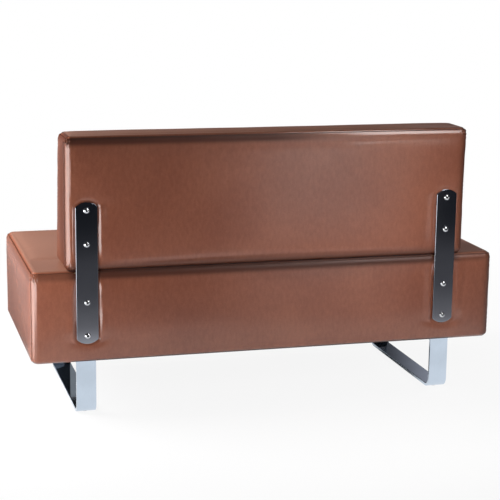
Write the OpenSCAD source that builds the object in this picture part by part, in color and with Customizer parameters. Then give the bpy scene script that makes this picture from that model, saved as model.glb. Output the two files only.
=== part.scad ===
// Waiting sofa: a long leather seat box on two sled legs, with a wedge-shaped
// leather backrest held to it by two screwed steel straps at the rear.
// X runs along the sofa, with its left end at +X. Y runs from the front to the
// rear. Z is up from the floor, and the origin is under the middle of the whole.

/* [Seat] */
// Length of the seat box
seat_l = 1300; // [1100:10:1700]
// Depth of the seat box from front to rear
seat_d = 576; // [500:4:680]
// Height of the leather seat box
seat_h = 245; // [225:5:300]
// Rounding of the upright corners of the seat
seat_round = 22; // [16:1:30]
// Rounding of the top edges of the seat
seat_edge_round = 12; // [8:1:15]
// Rise of the seat's top in the middle of its free part
seat_crown = 12; // [2:1:20]
// Swelling of the seat's front and ends
side_crown = 5; // [1:1:8]
// Swelling of the rear faces beside the straps
rear_crown = 4; // [1:1:6]

/* [Backrest] */
// From the end of the seat to the end of the backrest
back_inset = 92; // [50:1:160]
// Height of the backrest
back_h = 353; // [320:1:460]
// Thickness of the backrest at its foot
back_t_low = 165; // [150:1:200]
// Thickness of the backrest at its top
back_t_high = 115; // [105:1:150]
// Rounding of the upright corners of the backrest
back_round = 18; // [14:1:20]
// Rounding of the top edges of the backrest
back_edge_round = 12; // [8:1:13]
// Swelling of the backrest's front and ends
back_crown = 6; // [1:1:10]
// How far the rear of the backrest leans out above the straps
back_lean = 8; // [0:1:12]

/* [Legs] */
// Height of the seat's underside above the floor
leg_h = 150; // [110:5:220]
// From the end of the seat to the middle of a leg
leg_inset = 145; // [110:1:220]
// From the seat's rear face to the rear face of a leg
leg_rear_inset = 13; // [5:1:40]
// Depth of a leg from front to rear
leg_depth = 480; // [400:5:485]
// Width of the flat bar of the legs
leg_w = 53; // [40:1:70]
// Thickness of the flat bar of the legs
leg_t = 8; // [5:1:10]
// Outer radius of the leg's bends
leg_bend = 28; // [20:1:45]
// Thickness of the leg's mounting plate
plate_t = 6; // [4:1:8]
// Thickness of the floor glides
glide_t = 2; // [1:0.5:4]

/* [Straps] */
// Length of a strap
strap_l = 380; // [320:5:440]
// Width of a strap
strap_w = 58; // [40:1:70]
// Thickness of a strap
strap_t = 6; // [4:1:8]
// From the end of the backrest to the nearest edge of a strap
strap_margin = 26; // [24:1:70]
// How far the middle of a strap lies below the seat's top
strap_drop = 5; // [0:1:12]
// Rise of the arched ends of a strap
strap_arch = 10; // [6:1:14]
// Bevel along the edges of a strap
strap_bevel = 1.5; // [0.5:0.1:2]
// From the end of a strap to its first screw
hole_end = 22; // [18:1:26]
// Distance between the two screws of each pair
hole_pitch = 90; // [60:1:95]

/* [Frame] */
// Thickness of the seat frame's boards
rail_t = 30; // [25:1:36]
// Thickness of the plywood deck
deck_t = 12; // [9:1:15]
// Width of the timber bearers over the legs
bearer_w = 90; // [80:1:100]
// Height of the timber bearers over the legs
bearer_h = 45; // [40:1:50]
// Thickness of the boards in the backrest
board_t = 18; // [15:1:20]
// Thickness of the backrest's front panel
panel_t = 6; // [4:1:8]
// Thickness of the backrest's front foam
foam_t = 35; // [20:1:36]
// Thickness of the foam wrap and pads
wrap_t = 8; // [6:1:10]
// Thickness of the leather
leather_t = 1.5; // [1:0.1:2]

/* [Fasteners] */
// Diameter of the machine screws and bolts
screw_d = 8; // [6:1:8]
// Length of the strap screws under the head
screw_l = 40; // [36:1:42]
// Length of the leg bolts under the head
bolt_l = 53; // [50:1:54]
// Diameter of the strap screws' button heads
head_d = 16; // [14:1:18]
// Height of the strap screws' button heads
head_h = 4.5; // [3.5:0.5:6]
// Number of bolts in each leg plate
bolt_count = 4; // [2:1:6]

/* [Hidden] */
$fn = 48;

// Colours
leather_colour = [0.50, 0.31, 0.24];
steel_colour = [0.72, 0.76, 0.82];
strap_colour = [0.22, 0.24, 0.29];
wood_colour = [0.78, 0.62, 0.42];
foam_colour = [0.93, 0.88, 0.70];
cloth_colour = [0.08, 0.08, 0.08];

// Clearances and small thicknesses
soft_gap = 0.3;
hole_gap = 0.3;
thread_gap = 0.05;
barrel_gap = 0.1;
overrun = 1;
dust_t = 1;
closing_t = 0.8;
skin_depth = leather_t + soft_gap;
frame_inset = skin_depth + wrap_t + soft_gap;
left_and_right = [1, -1];

// Places across the depth: the rear stack of strap and screw head is balanced by the front
rear_stack = soft_gap + strap_t + head_h;
rear_y = (seat_d + side_crown - rear_stack) / 2;
front_y = rear_y - seat_d;
frame_rear_y = rear_y - frame_inset;
frame_front_y = front_y + frame_inset;
rail_rear_y = frame_rear_y - rail_t;
rail_front_y = frame_front_y + rail_t;

// Heights in the seat
seat_foot = leg_h + dust_t + soft_gap;
seat_top = leg_h + seat_h;
frame_foot = seat_foot + skin_depth;
foot_round = 8;
hem_w = 22;
frame_half = seat_l / 2 - frame_inset;
frame_round = 10;

// Heights and places in the backrest
back_foot = seat_top + 2 * soft_gap + closing_t;
back_top = back_foot + back_h;
back_half = seat_l / 2 - back_inset;
back_frame_half = back_half - frame_inset;
board_rear_y = rear_y - frame_inset;
board_front_y = board_rear_y - board_t;
back_frame_low = back_foot + skin_depth;
back_frame_high = back_top - frame_inset;
back_hem_w = 16;
corner_clear = back_round + skin_depth;
edge_clear = back_edge_round + skin_depth;
rib_share = 0.33;
rib_xs = [back_frame_half - board_t / 2, rib_share * back_half];

// Legs
leg_x = seat_l / 2 - leg_inset;
leg_rear_y = rear_y - leg_rear_inset;
leg_front_y = leg_rear_y - leg_depth;
plate_l = leg_depth - 2 * leg_t;
bolt_inset = 45;
bolt_step = (plate_l - 2 * bolt_inset) / (bolt_count - 1);
bolt_ys = [for (k = [0:bolt_count - 1]) leg_front_y + leg_t + bolt_inset + k * bolt_step];
bolt_head_h = 5.3;
bolt_head_d = 15;
washer_t = 1.6;
washer_d = 17;
weld_size = 5;
glide_d = 34;

// Tee nuts
nut_flange_d = 19;
nut_flange_t = 1.5;
nut_barrel_d = 10;
nut_barrel_l = 11;

// Straps
strap_x = back_half - strap_margin - strap_w / 2;
strap_low = seat_top - strap_drop - strap_l / 2;
strap_high = strap_low + strap_l;
strap_y = rear_y + soft_gap;
arch_r = (pow(strap_w / 2, 2) + pow(strap_arch, 2)) / (2 * strap_arch);
ramp_share = 0.85;
dent_ramp = (strap_margin - back_round) * ramp_share;
seat_hole_zs = [strap_low + hole_end, strap_low + hole_end + hole_pitch];
back_hole_zs = [strap_high - hole_end, strap_high - hole_end - hole_pitch];
socket_d = 6;
socket_depth = 2.6;

// The seat frame's boards rise past the upper tee nuts, with the deck and the foam on them
nut_clear = 1.6;
rail_h = seat_hole_zs[1] + nut_flange_d / 2 + nut_clear - frame_foot;
deck_z = frame_foot + rail_h;
foam_z = deck_z + deck_t + soft_gap;

// Timber joints
block_leg = 48;
block_h = 110;
wood_screw_d = 5;
wood_screw_l = 60;
wood_head_d = 10;
wood_screw_shares = [0.4, 0.8];
small_screw_d = 4;
small_screw_l = 38;
small_screw_shares = [0.15, 0.5, 0.85];

// Staples of the dust cover
dust_inset = 13;
staple_inset = 31;
staple_w = 11;
staple_wire = 1.2;
staple_leg = 9;
staples_long = 7;
staples_short = 4;

// Columns of a cushion's skin, as shares of a face's flat half
end_shares = [0.6, 0, -0.6];
front_shares = [-0.8, -0.4, 0, 0.4, 0.8];
rear_mid_share = 0.5;
corner_steps = 4;
arc_angles = [30, 60, 90];
crown_shares = [1, 0.75, 0.4];
crown_margin = 12;

// Heights of the rows across the seat's sides, kept in order at any place of the straps
row_step = 2;
seat_row_low = seat_foot + foot_round;
seat_row_ramp = max(strap_low - dent_ramp, seat_row_low + row_step);
seat_row_strap = max(strap_low, seat_row_ramp + row_step);

// A cushion's form: [half length, rear, depth at foot, depth at top, foot, top, upright rounding,
// edge rounding, side crown, rear crown, top crown, lean, hem, [dent foot, dent head], [side rows],
// depth of the part of the top that is crowned]
seat_form = [seat_l / 2, rear_y, seat_d, seat_d, seat_foot, seat_top, seat_round,
    seat_edge_round, side_crown, rear_crown, seat_crown, 0, hem_w, [strap_low, 2 * seat_top],
    [seat_row_low, seat_row_ramp, seat_row_strap, (seat_foot + seat_top) / 2, seat_top - seat_edge_round],
    seat_d - back_t_low + seat_edge_round];
back_form = [back_half, rear_y, back_t_low, back_t_high, back_foot, back_top, back_round,
    back_edge_round, back_crown, rear_crown, side_crown / 2, back_lean, back_hem_w, [0, strap_high],
    [back_foot + foot_round, (back_foot + strap_high) / 2, strap_high, strap_high + dent_ramp,
        back_top - back_edge_round],
    back_t_high + back_lean];

function clamp01(v) = min(1, max(0, v));

// Height as a share of the way from a form's foot to its top
function up_share(f, z) = clamp01((z - f[4]) / (f[5] - f[4]));

// Rear face of a form at height z: upright, then leaning out above the straps
function rear_at(f, z) = f[1] + f[11] * clamp01((z - f[13][1]) / (f[5] - f[13][1]));

// Front face of a form at height z, on the straight line from foot to top
function front_at(f, z) = f[1] - f[2] + (f[2] - f[3]) * up_share(f, z);

// How fully the leather is pressed flat by a strap at (x, z), from 0 to 1
function dent_at(f, x, z) =
    clamp01((strap_w / 2 + dent_ramp - abs(abs(x) - strap_x)) / dent_ramp)
    * clamp01((z - f[13][0] + dent_ramp) / dent_ramp)
    * clamp01((f[13][1] + dent_ramp - z) / dent_ramp);

// Swelling of a side face over its height: a parabola, nothing at the first and last side row
function rise_at(f, z) =
    let (rows = f[14], low = rows[0], high = rows[len(rows) - 1])
    clamp01(1 - pow((2 * z - low - high) / (high - low), 2));

// Point on a face: along it by x or share, then out by its swelling
function rear_point(f, x, z, inset) =
    let (flat = f[0] - f[6])
    [x, rear_at(f, z) - inset + f[9] * rise_at(f, z) * (1 - pow(x / flat, 6)) * (1 - dent_at(f, x, z))];
function end_point(f, side, share, z, inset) =
    let (rear = rear_at(f, z), front = front_at(f, z), half = (rear - front) / 2 - f[6])
    [side * (f[0] - inset + f[8] * rise_at(f, z) * (1 - pow(share, 2))), (rear + front) / 2 + share * half];
function front_point(f, share, z, inset) =
    [share * (f[0] - f[6]), front_at(f, z) + inset - f[8] * rise_at(f, z) * (1 - pow(share, 2))];
function corner_point(f, sx, sy, angle, z, inset) =
    let (edge = sy > 0 ? rear_at(f, z) : front_at(f, z))
    [sx * (f[0] - f[6]) + (f[6] - inset) * cos(angle), edge - sy * f[6] + (f[6] - inset) * sin(angle)];

// One closed ring of plan points, counter-clockwise seen from above
function ring(f, z, inset) = let (
        a = strap_x + strap_w / 2,
        b = strap_x - strap_w / 2,
        rear_xs = [a + dent_ramp, a, b, b - dent_ramp, rear_mid_share * b],
        quarter = [for (k = [0:corner_steps]) 90 * k / corner_steps])
    concat(
        [for (x = rear_xs) rear_point(f, x, z, inset)],
        [rear_point(f, 0, z, inset)],
        [for (k = [len(rear_xs) - 1:-1:0]) rear_point(f, -rear_xs[k], z, inset)],
        [for (q = quarter) corner_point(f, -1, 1, 90 + q, z, inset)],
        [for (s = end_shares) end_point(f, -1, s, z, inset)],
        [for (q = quarter) corner_point(f, -1, -1, 180 + q, z, inset)],
        [for (s = front_shares) front_point(f, s, z, inset)],
        [for (q = quarter) corner_point(f, 1, -1, 270 + q, z, inset)],
        [for (s = end_shares) end_point(f, 1, -s, z, inset)],
        [for (q = quarter) corner_point(f, 1, 1, q, z, inset)]);

// Front and rear of the part of a form's top that rises to the crown
function crown_front(f) = front_at(f, f[5]) + f[7] + crown_margin;
function crown_rear(f) = front_at(f, f[5]) + f[15] - f[7] - crown_margin;
function crown_middle(f) = (crown_front(f) + crown_rear(f)) / 2;

function lift(points, z) = [for (p = points) [p[0], p[1], z]];

// A ring on the crown at share s of the way out from its middle: points is the flat top's
// outer ring, and the height is a parabola in s
function crown_ring(f, points, s, z) = let (
        x_half = f[0] - f[7],
        y_half = (rear_at(f, f[5]) - front_at(f, f[5])) / 2 - f[7],
        y_mid = (rear_at(f, f[5]) + front_at(f, f[5])) / 2,
        x_scale = s * (x_half - crown_margin) / x_half,
        y_scale = s * (crown_rear(f) - crown_front(f)) / 2 / y_half)
    [for (p = points)
        [p[0] * x_scale, crown_middle(f) + (p[1] - y_mid) * y_scale, z + f[10] * (1 - s * s)]];

// The inner edge of the leather that is turned in under the foot, w wide
function hem(f, points, w, z) =
    let (m = f[1] - f[2] / 2, sx = (f[0] - w) / f[0], sy = (f[2] / 2 - w) / (f[2] / 2))
    [for (p = points) [p[0] * sx, m + (p[1] - m) * sy, z]];

// Rows of a skin from the last side row over the top edge to the last ring before the middle
function upper_rows(f, inset) = let (
        r = f[7] - inset,
        top = f[5] - inset,
        last = ring(f, f[5], f[7]))
    concat(
        [for (a = concat([0], arc_angles))
            lift(ring(f, top - r + r * sin(a), inset + r - r * cos(a)), top - r + r * sin(a))],
        [for (s = crown_shares) crown_ring(f, last, s, top)]);

// Rows under the side rows: the turned-in hem and the rounded foot
function lower_rows(f, inset) = let (
        r = foot_round - inset,
        foot = f[4] + inset,
        flat = ring(f, f[4] + foot_round, foot_round))
    [hem(f, flat, f[12], foot), lift(flat, foot),
        lift(ring(f, foot + r - r * cos(45), inset + r - r * sin(45)), foot + r - r * cos(45))];

function side_rows(f, inset) = [for (k = [0:len(f[14]) - 2]) lift(ring(f, f[14][k], inset), f[14][k])];
function skin_rows(f, inset) = concat(lower_rows(f, inset), side_rows(f, inset), upper_rows(f, inset));
function skin_middle(f, inset) = [0, crown_middle(f), f[5] - inset + f[10]];
function flatten(rows) = [for (row = rows) each row];

// Faces between rows of n points, starting at point start, and the fan to the middle point
function strip_faces(rows, n, start) = [for (j = [0:rows - 2], i = [0:n - 1])
    let (a = start + j * n + i, b = start + j * n + (i + 1) % n)
    each [[a, a + n, b + n], [a, b + n, b]]];
function fan_faces(rows, n, start) = [for (i = [0:n - 1])
    let (base = start + (rows - 1) * n)
    [base + i, start + rows * n, base + (i + 1) % n]];
function turned(faces) = [for (t = faces) [t[0], t[2], t[1]]];

// Leather skin of even thickness, open underneath inside its hem
module skin_shell(f) {
    outer = skin_rows(f, 0);
    inner = skin_rows(f, leather_t);
    n = len(outer[0]);
    count = len(outer);
    second = count * n + 1;
    points = concat(flatten(outer), [skin_middle(f, 0)], flatten(inner), [skin_middle(f, leather_t)]);
    rim = [for (i = [0:n - 1]) let (k = (i + 1) % n)
        each [[i, k, second + k], [i, second + k, second + i]]];
    polyhedron(points, concat(strip_faces(count, n, 0), fan_faces(count, n, 0),
        turned(strip_faces(count, n, second)), turned(fan_faces(count, n, second)), rim));
}

// Foam that fills the skin from height z up, its first row on the skin's straight side facets
module skin_filling(f, z) {
    last = len(f[14]) - 1;
    low = f[14][last - 1];
    share = (z - low) / (f[14][last] - low);
    below = ring(f, low, skin_depth);
    above = ring(f, f[14][last], skin_depth);
    first = [for (i = [0:len(below) - 1]) below[i] * (1 - share) + above[i] * share];
    rows = concat([lift(first, z)], upper_rows(f, skin_depth));
    n = len(rows[0]);
    count = len(rows);
    points = concat(flatten(rows), [skin_middle(f, skin_depth)]);
    floor_face = [for (i = [0:n - 1]) i];
    polyhedron(points, concat(strip_faces(count, n, 0), fan_faces(count, n, 0), [floor_face]));
}

// A shape drawn in (y, z), made w wide along X and centred at x
module across(x, w) {
    translate([x - w / 2, 0, 0]) rotate([90, 0, 90]) linear_extrude(w) children();
}

// A cylinder along Y from y towards -Y
module rod(x, y, z, d, l) {
    translate([x, y, z]) rotate([90, 0, 0]) cylinder(d = d, h = l);
}

// A cylinder that cuts from y, with an overrun at both ends
module bore(x, y, z, d, l) {
    rod(x, y + overrun, z, d, l + 2 * overrun);
}

module box(x0, x1, y0, y1, z0, z1) {
    translate([x0, y0, z0]) cube([x1 - x0, y1 - y0, z1 - z0]);
}

// Slab from z0 to z1 with rounded upright corners, inset from the seat's faces
module seat_slab(inset, r, z0, z1) {
    half = seat_l / 2 - inset;
    y0 = front_y + inset;
    y1 = rear_y - inset;
    translate([0, 0, z0]) linear_extrude(z1 - z0) {
        translate([-half + r, y0]) square([2 * (half - r), y1 - y0]);
        translate([-half, y0 + r]) square([2 * half, y1 - y0 - 2 * r]);
        for (x = [-half + r, half - r], y = [y0 + r, y1 - r]) translate([x, y]) circle(r);
    }
}

// Legs

module u_area(depth, height, r) {
    translate([r, 0]) square([depth - 2 * r, height]);
    translate([0, r]) square([depth, height - r]);
    translate([r, r]) circle(r);
    translate([depth - r, r]) circle(r);
}

// One flat bar bent to a U: rear upright, floor runner and front upright
module leg(side) {
    color(steel_colour) across(side * leg_x, leg_w) translate([leg_front_y, glide_t]) difference() {
        u_area(leg_depth, leg_h - glide_t, leg_bend);
        translate([leg_t, leg_t]) u_area(plate_l, leg_h, leg_bend - leg_t);
    }
}
module leg_left() { leg(1); }
module leg_right() { leg(-1); }

module leg_plate(side) {
    x = side * leg_x;
    y0 = leg_front_y + leg_t;
    color(steel_colour) difference() {
        box(x - leg_w / 2, x + leg_w / 2, y0, y0 + plate_l, leg_h - plate_t, leg_h);
        for (y = bolt_ys) translate([x, y, leg_h - plate_t - overrun])
            cylinder(d = screw_d + 2 * hole_gap, h = plate_t + 2 * overrun);
    }
}
module leg_plate_left() { leg_plate(1); }
module leg_plate_right() { leg_plate(-1); }

// Fillet welds in the corners under the plates
module leg_welds() {
    z = leg_h - plate_t;
    y0 = leg_front_y + leg_t;
    y1 = y0 + plate_l;
    color(steel_colour) for (side = left_and_right) across(side * leg_x, leg_w - 2 * weld_size) {
        polygon([[y0, z], [y0 + weld_size, z], [y0, z - weld_size]]);
        polygon([[y1, z], [y1, z - weld_size], [y1 - weld_size, z]]);
    }
}

module floor_glides() {
    y0 = leg_front_y + leg_bend + glide_d / 2;
    y1 = leg_rear_y - leg_bend - glide_d / 2;
    color(cloth_colour) for (side = left_and_right, y = [y0, y1])
        translate([side * leg_x, y, 0]) cylinder(d = glide_d, h = glide_t);
}

// Leg fasteners: each stands on the plate, washer first
module at_leg_bolts(z) {
    for (side = left_and_right, y = bolt_ys) translate([side * leg_x, y, z]) children();
}

module leg_bolts() {
    color(steel_colour) at_leg_bolts(leg_h - plate_t - washer_t) {
        cylinder(d = screw_d, h = bolt_l);
        translate([0, 0, -bolt_head_h]) cylinder(d = bolt_head_d, h = bolt_head_h, $fn = 6);
    }
}

module leg_washers() {
    color(steel_colour) at_leg_bolts(leg_h - plate_t - washer_t) difference() {
        cylinder(d = washer_d, h = washer_t);
        translate([0, 0, -overrun]) cylinder(d = screw_d + 2 * hole_gap, h = washer_t + 2 * overrun);
    }
}

// A tee nut with its flange on z = 0 and its barrel down the hole below
module tee_nut() {
    difference() {
        union() {
            cylinder(d = nut_flange_d, h = nut_flange_t);
            translate([0, 0, -nut_barrel_l]) cylinder(d = nut_barrel_d, h = nut_barrel_l + nut_flange_t);
        }
        translate([0, 0, -nut_barrel_l - overrun])
            cylinder(d = screw_d + 2 * thread_gap, h = nut_barrel_l + nut_flange_t + 2 * overrun);
    }
}

// The stepped hole that a tee nut and its screw need below z = 0, through wood of thickness l
module nut_hole(l) {
    translate([0, 0, -nut_barrel_l - hole_gap])
        cylinder(d = nut_barrel_d + 2 * barrel_gap, h = nut_barrel_l + hole_gap + overrun);
    translate([0, 0, -l - overrun]) cylinder(d = screw_d + 2 * hole_gap, h = l + 2 * overrun);
}

module leg_tee_nuts() {
    color(steel_colour) at_leg_bolts(frame_foot + bearer_h) tee_nut();
}

// Seat frame

// Places of the dust cover's staples: [x, y, turn], with one in the middle of each stretch
// between a leg and the seat's end and the rest spread between the legs
staple_places = let (
        half_l = seat_l / 2 - staple_inset,
        half_between = leg_x - leg_w / 2,
        x_end = (half_l + leg_x + leg_w / 2) / 2,
        y0 = front_y + staple_inset,
        y1 = rear_y - staple_inset)
    concat(
        [for (y = [y0, y1], x = [-x_end, x_end]) [x, y, 0]],
        [for (y = [y0, y1], k = [1:staples_long])
            [-half_between + 2 * half_between * k / (staples_long + 1), y, 0]],
        [for (x = [-half_l, half_l], k = [1:staples_short])
            [x, y0 + (y1 - y0) * k / (staples_short + 1), 90]]);

module staple_legs(gap) {
    for (side = left_and_right) translate([side * (staple_w - staple_wire) / 2, 0, 0])
        translate([-staple_wire / 2 - gap, -staple_wire / 2 - gap, -overrun])
            cube([staple_wire + 2 * gap, staple_wire + 2 * gap, staple_leg + gap + overrun]);
}

// Slots for the staples in the wood and the dust cover
module staple_slots() {
    for (p = staple_places) translate([p[0], p[1], leg_h]) rotate([0, 0, p[2]]) staple_legs(barrel_gap);
}

module dust_cover_staples() {
    color(steel_colour) for (p = staple_places) translate([p[0], p[1], leg_h]) rotate([0, 0, p[2]])
        union() {
            translate([-staple_w / 2, -staple_wire / 2, -staple_wire])
                cube([staple_w, staple_wire, staple_wire]);
            staple_legs(0);
        }
}

// Rows of wood screws at the frame's corners: one through a long board into each end board
module at_frame_screws(turn) {
    x = frame_half - rail_t / 2;
    y = turn > 0 ? frame_rear_y : frame_front_y;
    for (side = left_and_right, s = wood_screw_shares)
        translate([side * x, y, frame_foot + s * rail_h]) rotate([turn * 90, 0, 0]) children();
}

// A countersunk wood screw that points up from its flush head
module wood_screw(d, head, l, gap) {
    cylinder(d = d + 2 * gap, h = l + gap);
    cylinder(d1 = head + 2 * gap, d2 = d + 2 * gap, h = (head - d) / 2);
}

module frame_screw_holes() {
    for (turn = left_and_right) at_frame_screws(turn) {
        wood_screw(wood_screw_d, wood_head_d, wood_screw_l, barrel_gap);
        translate([0, 0, -overrun]) cylinder(d = wood_head_d + 2 * barrel_gap, h = overrun);
    }
}

module seat_frame_screws() {
    color(steel_colour) for (turn = left_and_right) at_frame_screws(turn)
        wood_screw(wood_screw_d, wood_head_d, wood_screw_l, 0);
}

// A long board of the frame from y0 to y1, its outer corners rounded
module long_rail(y0, y1) {
    intersection() {
        seat_slab(frame_inset, frame_round, frame_foot, deck_z);
        box(-seat_l / 2, seat_l / 2, y0, y1, frame_foot - overrun, deck_z + overrun);
    }
}

module seat_front_rail() {
    color(wood_colour) difference() {
        long_rail(front_y, rail_front_y);
        frame_screw_holes();
        staple_slots();
    }
}

module seat_rear_rail() {
    color(wood_colour) difference() {
        long_rail(rail_rear_y, rear_y);
        frame_screw_holes();
        staple_slots();
        for (side = left_and_right, z = seat_hole_zs)
            translate([side * strap_x, rail_rear_y, z]) rotate([90, 0, 0]) nut_hole(rail_t);
    }
}

module seat_end(side) {
    color(wood_colour) difference() {
        translate([side * (frame_half - rail_t / 2), 0, 0])
            box(-rail_t / 2, rail_t / 2, rail_front_y, rail_rear_y, frame_foot, deck_z);
        frame_screw_holes();
        staple_slots();
    }
}
module seat_end_left() { seat_end(1); }
module seat_end_right() { seat_end(-1); }

module seat_centre_rail() {
    color(wood_colour) box(-rail_t / 2, rail_t / 2, rail_front_y, rail_rear_y, frame_foot, deck_z);
}

// The timber that a leg plate is bolted to, clear of the tee nuts in the rear rail
module leg_bearer(side) {
    x = side * leg_x;
    color(wood_colour) difference() {
        box(x - bearer_w / 2, x + bearer_w / 2, rail_front_y, rail_rear_y, frame_foot, frame_foot + bearer_h);
        at_leg_bolts(frame_foot + bearer_h) nut_hole(bearer_h);
        for (z = seat_hole_zs) bore(side * strap_x, rail_rear_y, z, nut_flange_d + 2 * hole_gap, nut_flange_t);
    }
}
module leg_bearer_left() { leg_bearer(1); }
module leg_bearer_right() { leg_bearer(-1); }

module seat_corner_blocks() {
    x = frame_half - rail_t;
    z = frame_foot + (rail_h - block_h) / 2;
    color(wood_colour) for (sx = left_and_right, sy = left_and_right) {
        y = sy > 0 ? rail_rear_y : rail_front_y;
        translate([0, 0, z]) linear_extrude(block_h)
            polygon([[sx * x, y], [sx * (x - block_leg), y], [sx * x, y - sy * block_leg]]);
    }
}

module seat_deck() {
    color(wood_colour) seat_slab(frame_inset, frame_round, deck_z, deck_z + deck_t);
}

// Seat padding and cover

module seat_foam() {
    color(foam_colour) skin_filling(seat_form, foam_z);
}

// Thin foam round the frame, with holes for the strap screws
module seat_wrap() {
    color(foam_colour) difference() {
        seat_slab(skin_depth, seat_round, seat_foot + foot_round, deck_z + deck_t);
        seat_slab(frame_inset - soft_gap, frame_round + soft_gap, seat_foot, seat_top);
        for (side = left_and_right, z = seat_hole_zs)
            bore(side * strap_x, rear_y, z, screw_d + 2 * hole_gap, frame_inset);
    }
}

module seat_cover() {
    color(leather_colour) difference() {
        skin_shell(seat_form);
        for (side = left_and_right, z = seat_hole_zs)
            bore(side * strap_x, rear_y, z, screw_d + 2 * hole_gap, leather_t);
    }
}

module seat_dust_cover() {
    color(cloth_colour) difference() {
        seat_slab(dust_inset, seat_round - dust_inset, leg_h, leg_h + dust_t);
        at_leg_bolts(leg_h - overrun) cylinder(d = screw_d + 2 * hole_gap, h = dust_t + 2 * overrun);
        staple_slots();
    }
}

// Backrest frame

// Y of the plane that lies the given depth behind the slanted front face, at height z
function slant(z, depth) = front_at(back_form, z) + depth;
panel_face = skin_depth + foam_t + soft_gap;
panel_back = panel_face + panel_t;

// A block that fills the wedge between the slanted plane and the plane y, from z0 to z1
module wedge(x, w, y, depth, z0, z1) {
    across(x, w) polygon([[y, z0], [y, z1], [slant(z1, depth), z1], [slant(z0, depth), z0]]);
}

// Rows of small screws through the rear board into the ribs
module at_rib_screws() {
    rib_low = back_frame_low + board_t;
    rib_high = back_frame_high - board_t;
    for (side = left_and_right, x = rib_xs, s = small_screw_shares)
        translate([side * x, board_rear_y, rib_low + s * (rib_high - rib_low)]) rotate([90, 0, 0]) children();
}

module rib_screw_holes() {
    at_rib_screws() {
        wood_screw(small_screw_d, 2 * small_screw_d, small_screw_l, barrel_gap);
        translate([0, 0, -overrun]) cylinder(d = 2 * (small_screw_d + barrel_gap), h = overrun);
    }
}

module back_frame_screws() {
    color(steel_colour) at_rib_screws() wood_screw(small_screw_d, 2 * small_screw_d, small_screw_l, 0);
}

module back_rear_board() {
    color(wood_colour) difference() {
        box(-back_frame_half, back_frame_half, board_front_y, board_rear_y, back_frame_low, back_frame_high);
        rib_screw_holes();
        for (side = left_and_right, z = back_hole_zs)
            translate([side * strap_x, board_front_y, z]) rotate([90, 0, 0]) nut_hole(board_t);
    }
}

module back_ribs() {
    color(wood_colour) difference() {
        for (side = left_and_right, x = rib_xs) wedge(side * x, board_t, board_front_y, panel_back,
            back_frame_low + board_t, back_frame_high - board_t);
        rib_screw_holes();
    }
}

module back_top_rail() {
    color(wood_colour)
        wedge(0, 2 * back_frame_half, board_front_y, panel_back, back_frame_high - board_t, back_frame_high);
}

module back_foot_rail() {
    color(wood_colour)
        wedge(0, 2 * back_frame_half, board_front_y, panel_back, back_frame_low, back_frame_low + board_t);
}

module back_front_panel() {
    color(wood_colour) across(0, 2 * back_frame_half) polygon([
        [slant(back_frame_low, panel_face), back_frame_low],
        [slant(back_frame_high, panel_face), back_frame_high],
        [slant(back_frame_high, panel_back), back_frame_high],
        [slant(back_frame_low, panel_back), back_frame_low]]);
}

// Backrest padding and cover

module back_foam() {
    z0 = back_foot + foot_round + skin_depth;
    z1 = back_top - edge_clear;
    face = panel_face - soft_gap;
    color(foam_colour) across(0, 2 * (back_half - corner_clear)) polygon([
        [slant(z0, skin_depth), z0], [slant(z1, skin_depth), z1], [slant(z1, face), z1], [slant(z0, face), z0]]);
}

module back_rear_pad() {
    x = back_half - corner_clear;
    color(foam_colour) difference() {
        box(-x, x, rear_y - skin_depth - wrap_t, rear_y - skin_depth,
            back_foot + foot_round + skin_depth, back_top - edge_clear);
        for (side = left_and_right, z = back_hole_zs)
            bore(side * strap_x, rear_y, z, screw_d + 2 * hole_gap, frame_inset);
    }
}

module back_top_pad() {
    z = back_top - skin_depth;
    x = back_half - corner_clear;
    color(foam_colour) box(-x, x, slant(z, edge_clear), rear_y - edge_clear, z - wrap_t, z);
}

module back_end_pads() {
    z0 = back_foot + foot_round + skin_depth;
    z1 = back_top - edge_clear;
    x = back_half - skin_depth - wrap_t / 2;
    color(foam_colour) for (side = left_and_right)
        wedge(side * x, wrap_t, rear_y - corner_clear, corner_clear, z0, z1);
}

module back_cover() {
    color(leather_colour) difference() {
        skin_shell(back_form);
        for (side = left_and_right, z = back_hole_zs)
            bore(side * strap_x, rear_y, z, screw_d + 2 * hole_gap, leather_t);
    }
}

// The cloth that closes the backrest's foot, lying between it and the seat
module back_closing_cloth() {
    x = back_half - foot_round;
    z = seat_top + soft_gap;
    color(cloth_colour)
        box(-x, x, front_at(back_form, back_foot) + foot_round, rear_y - foot_round, z, z + closing_t);
}

// Straps

// Cross-section of a strap, its two outer edges bevelled
module strap_area() {
    w = strap_w / 2;
    polygon([[-w, 0], [w, 0], [w, strap_t - strap_bevel], [w - strap_bevel, strap_t],
        [strap_bevel - w, strap_t], [-w, strap_t - strap_bevel]]);
}

// Half section of the disc whose rim is a strap's arched and bevelled end
module arch_area() {
    polygon([[0, -overrun], [arch_r, -overrun], [arch_r, strap_t - strap_bevel],
        [arch_r - strap_bevel - overrun, strap_t + overrun], [0, strap_t + overrun]]);
}

// A strap with four holes, standing against the leather
module strap(side) {
    arch_y = strap_l / 2 - arch_r;
    color(strap_colour) translate([side * strap_x, strap_y, strap_low + strap_l / 2]) rotate([90, 0, 180])
        difference() {
            intersection() {
                rotate([90, 0, 0]) linear_extrude(strap_l + 2 * overrun, center = true) strap_area();
                union() {
                    for (end = left_and_right) translate([0, end * arch_y, 0])
                        rotate_extrude($fn = 96) arch_area();
                    box(-strap_w / 2 - overrun, strap_w / 2 + overrun, -arch_y, arch_y,
                        -overrun, strap_t + overrun);
                }
            }
            for (end = left_and_right, d = [0, hole_pitch])
                translate([0, end * (strap_l / 2 - hole_end - d), -overrun])
                    cylinder(d = screw_d + 2 * hole_gap, h = strap_t + 2 * overrun);
        }
}
module strap_left() { strap(1); }
module strap_right() { strap(-1); }

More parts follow.
